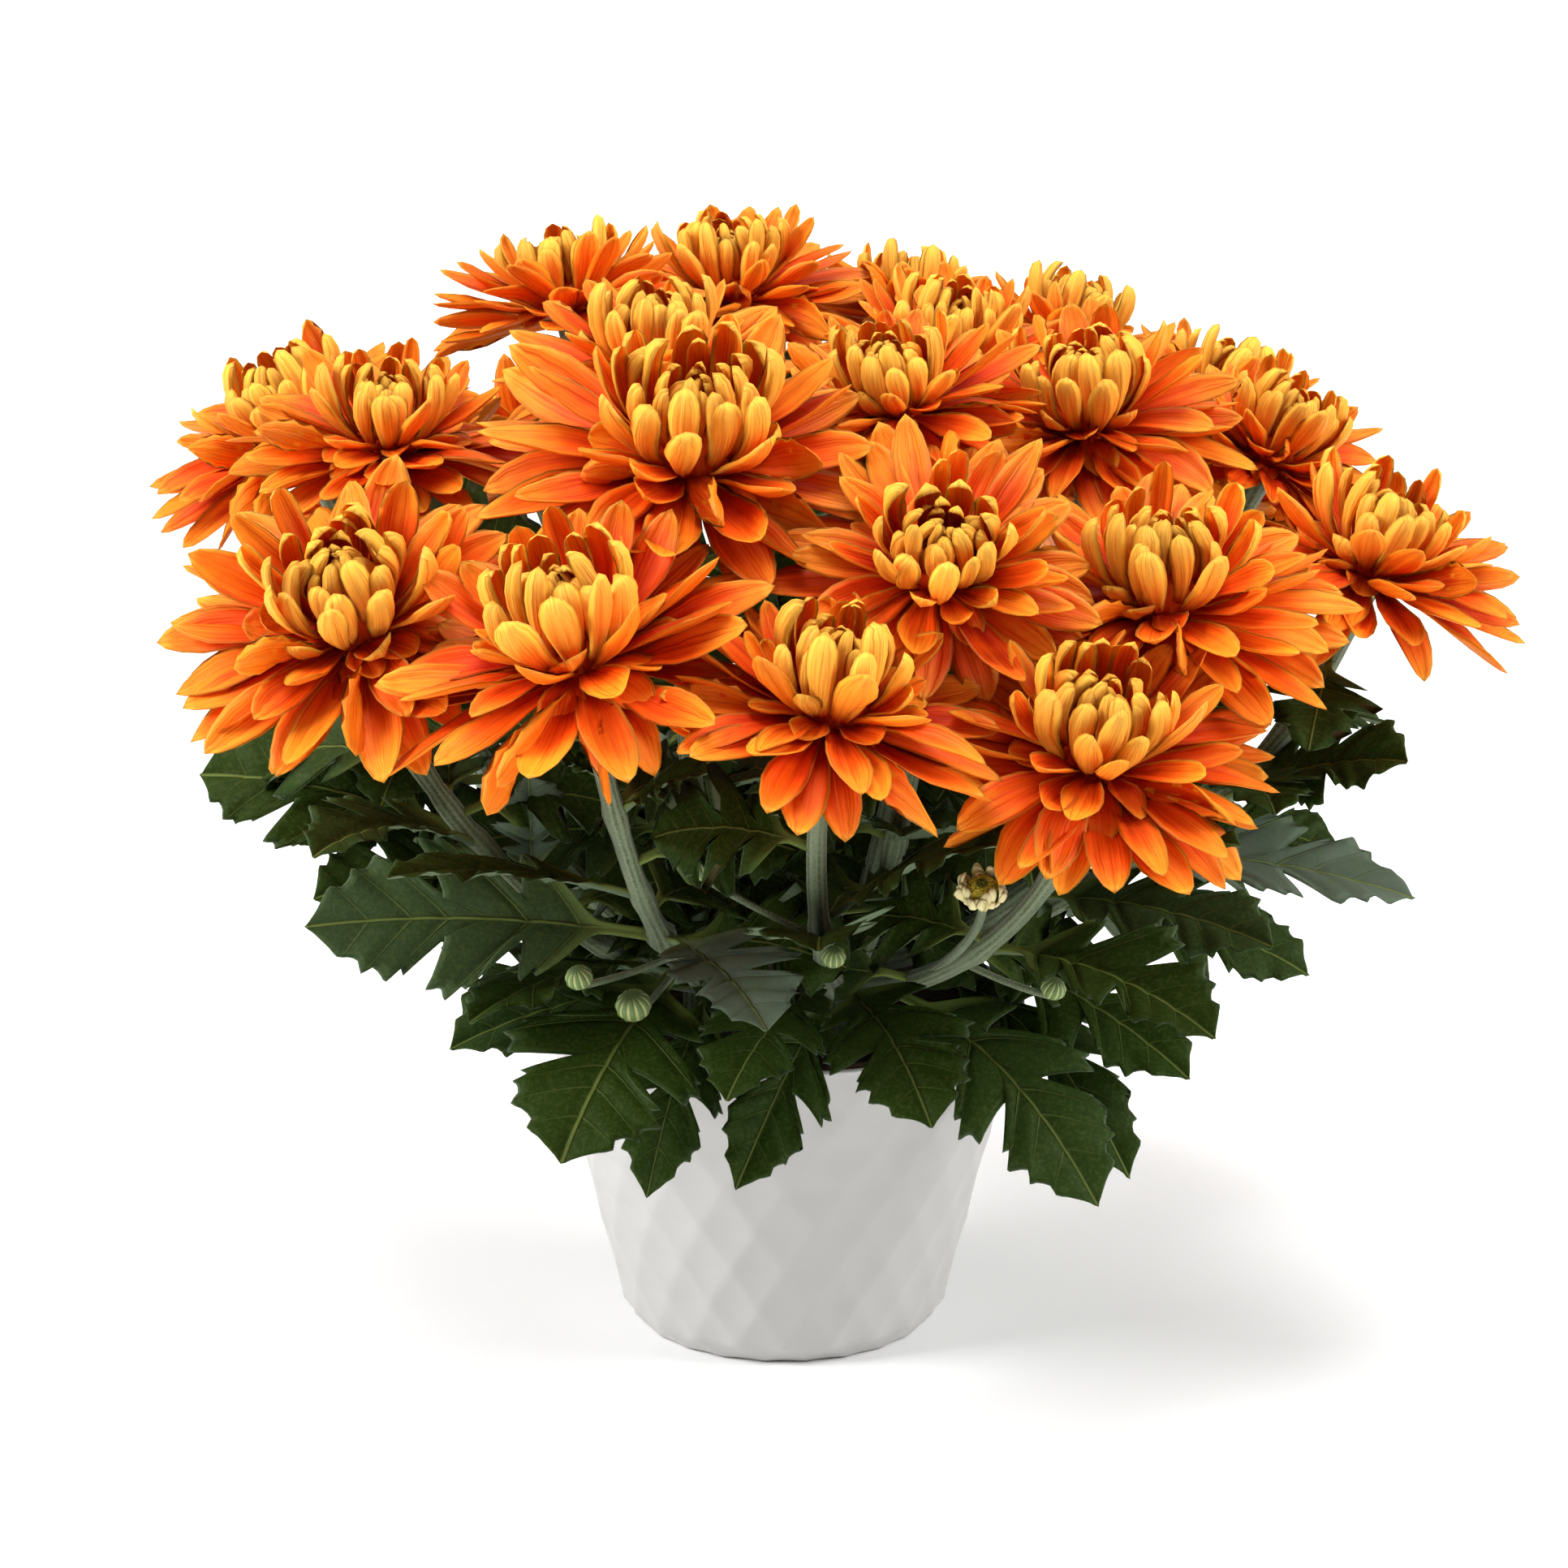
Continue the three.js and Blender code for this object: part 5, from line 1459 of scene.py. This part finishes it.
class MUM_OT_stage(bpy.types.Operator):
    """Builds the pale floor, the soft light and the camera"""

    bl_idname = "mum.stage"
    bl_label = "Stage"

    def execute(self, context):
        settings = context.scene.mum.stage
        scene = context.scene
        mesh = bpy.data.meshes.new("floor")
        corners = [(x * FLOOR_REACH, y * FLOOR_REACH, FLOOR_TOP) for x, y in SQUARE]
        mesh.from_pydata(corners, [], [(0, 1, 2, 3)])
        mesh.materials.append(floor_material(settings))
        floor = bpy.data.objects.new("floor", mesh)
        scene.collection.objects.link(floor)

        world = bpy.data.worlds.new("soft_sky")
        world.use_nodes = True
        back = world.node_tree.nodes["Background"]
        back.inputs["Color"].default_value = (1, 1, 1, 1)
        back.inputs["Strength"].default_value = settings.sky
        scene.world = world

        for name, at, aim, wide, spread, power in LIGHTS:
            lamp = bpy.data.lights.new(name, "AREA")
            lamp.shape, lamp.size, lamp.energy = "DISK", wide, settings.key * power
            lamp.spread = math.radians(spread)
            light = bpy.data.objects.new(name, lamp)
            light.location = at
            x, y, z = np.array(at) - np.array(aim)
            tilt, heading = math.atan2(math.hypot(x, y), z), math.atan2(y, x) + math.pi / 2
            light.rotation_euler = (tilt, 0, heading)
            scene.collection.objects.link(light)

        camera = bpy.data.objects.new("camera", bpy.data.cameras.new("camera"))
        camera.data.sensor_width = 36
        camera.data.lens = settings.lens
        camera.data.clip_start, camera.data.clip_end = 0.05, 60
        camera.location = (0, -settings.distance, settings.height)
        camera.rotation_euler = (math.pi / 2 - settings.pitch, 0, 0)
        scene.collection.objects.link(camera)
        scene.camera = camera
        scene.view_settings.view_transform = "Standard"
        return {"FINISHED"}


class MUM_PT_panel(bpy.types.Panel):
    """Lists the chrysanthemum's settings and what builds it"""

    bl_idname = "MUM_PT_panel"
    bl_label = "Chrysanthemum"
    bl_space_type = "VIEW_3D"
    bl_region_type = "UI"
    bl_category = "Chrysanthemum"

    def draw(self, context):
        mum = context.scene.mum
        for key, operators in PANEL_ROWS:
            box = self.layout.box()
            group = getattr(mum, key)
            for name in group.bl_rna.properties.keys():
                if name not in ("rna_type", "name"):
                    box.prop(group, name)
            for operator in operators:
                box.operator(operator.bl_idname)


PANEL_ROWS = (
    ("petal", (MUM_OT_petals,)),
    ("leaf", (MUM_OT_cuttings,)),
    ("stem", (MUM_OT_opening_bud,)),
    ("pot", (MUM_OT_cover_pot, MUM_OT_nursery_pot)),
    ("stage", (MUM_OT_stage,)),
)
CLASSES = (
    MumPetalSettings, MumLeafSettings, MumStemSettings, MumPotSettings, MumStageSettings,
    MumSettings, MUM_OT_petals, MUM_OT_cuttings, MUM_OT_opening_bud, MUM_OT_cover_pot,
    MUM_OT_nursery_pot, MUM_OT_stage, MUM_PT_panel,
)


def register():
    for kind in CLASSES:
        bpy.utils.register_class(kind)
    bpy.types.Scene.mum = PointerProperty(type=MumSettings)


def unregister():
    del bpy.types.Scene.mum
    for kind in reversed(CLASSES):
        bpy.utils.unregister_class(kind)


def main():
    register()
    bpy.ops.mum.stage()
    bpy.ops.mum.cover_pot()
    bpy.ops.mum.nursery_pot()
    bpy.ops.mum.cuttings()
    bpy.ops.mum.opening_bud()
    bpy.ops.mum.petals()


if __name__ == "__main__":
    main()
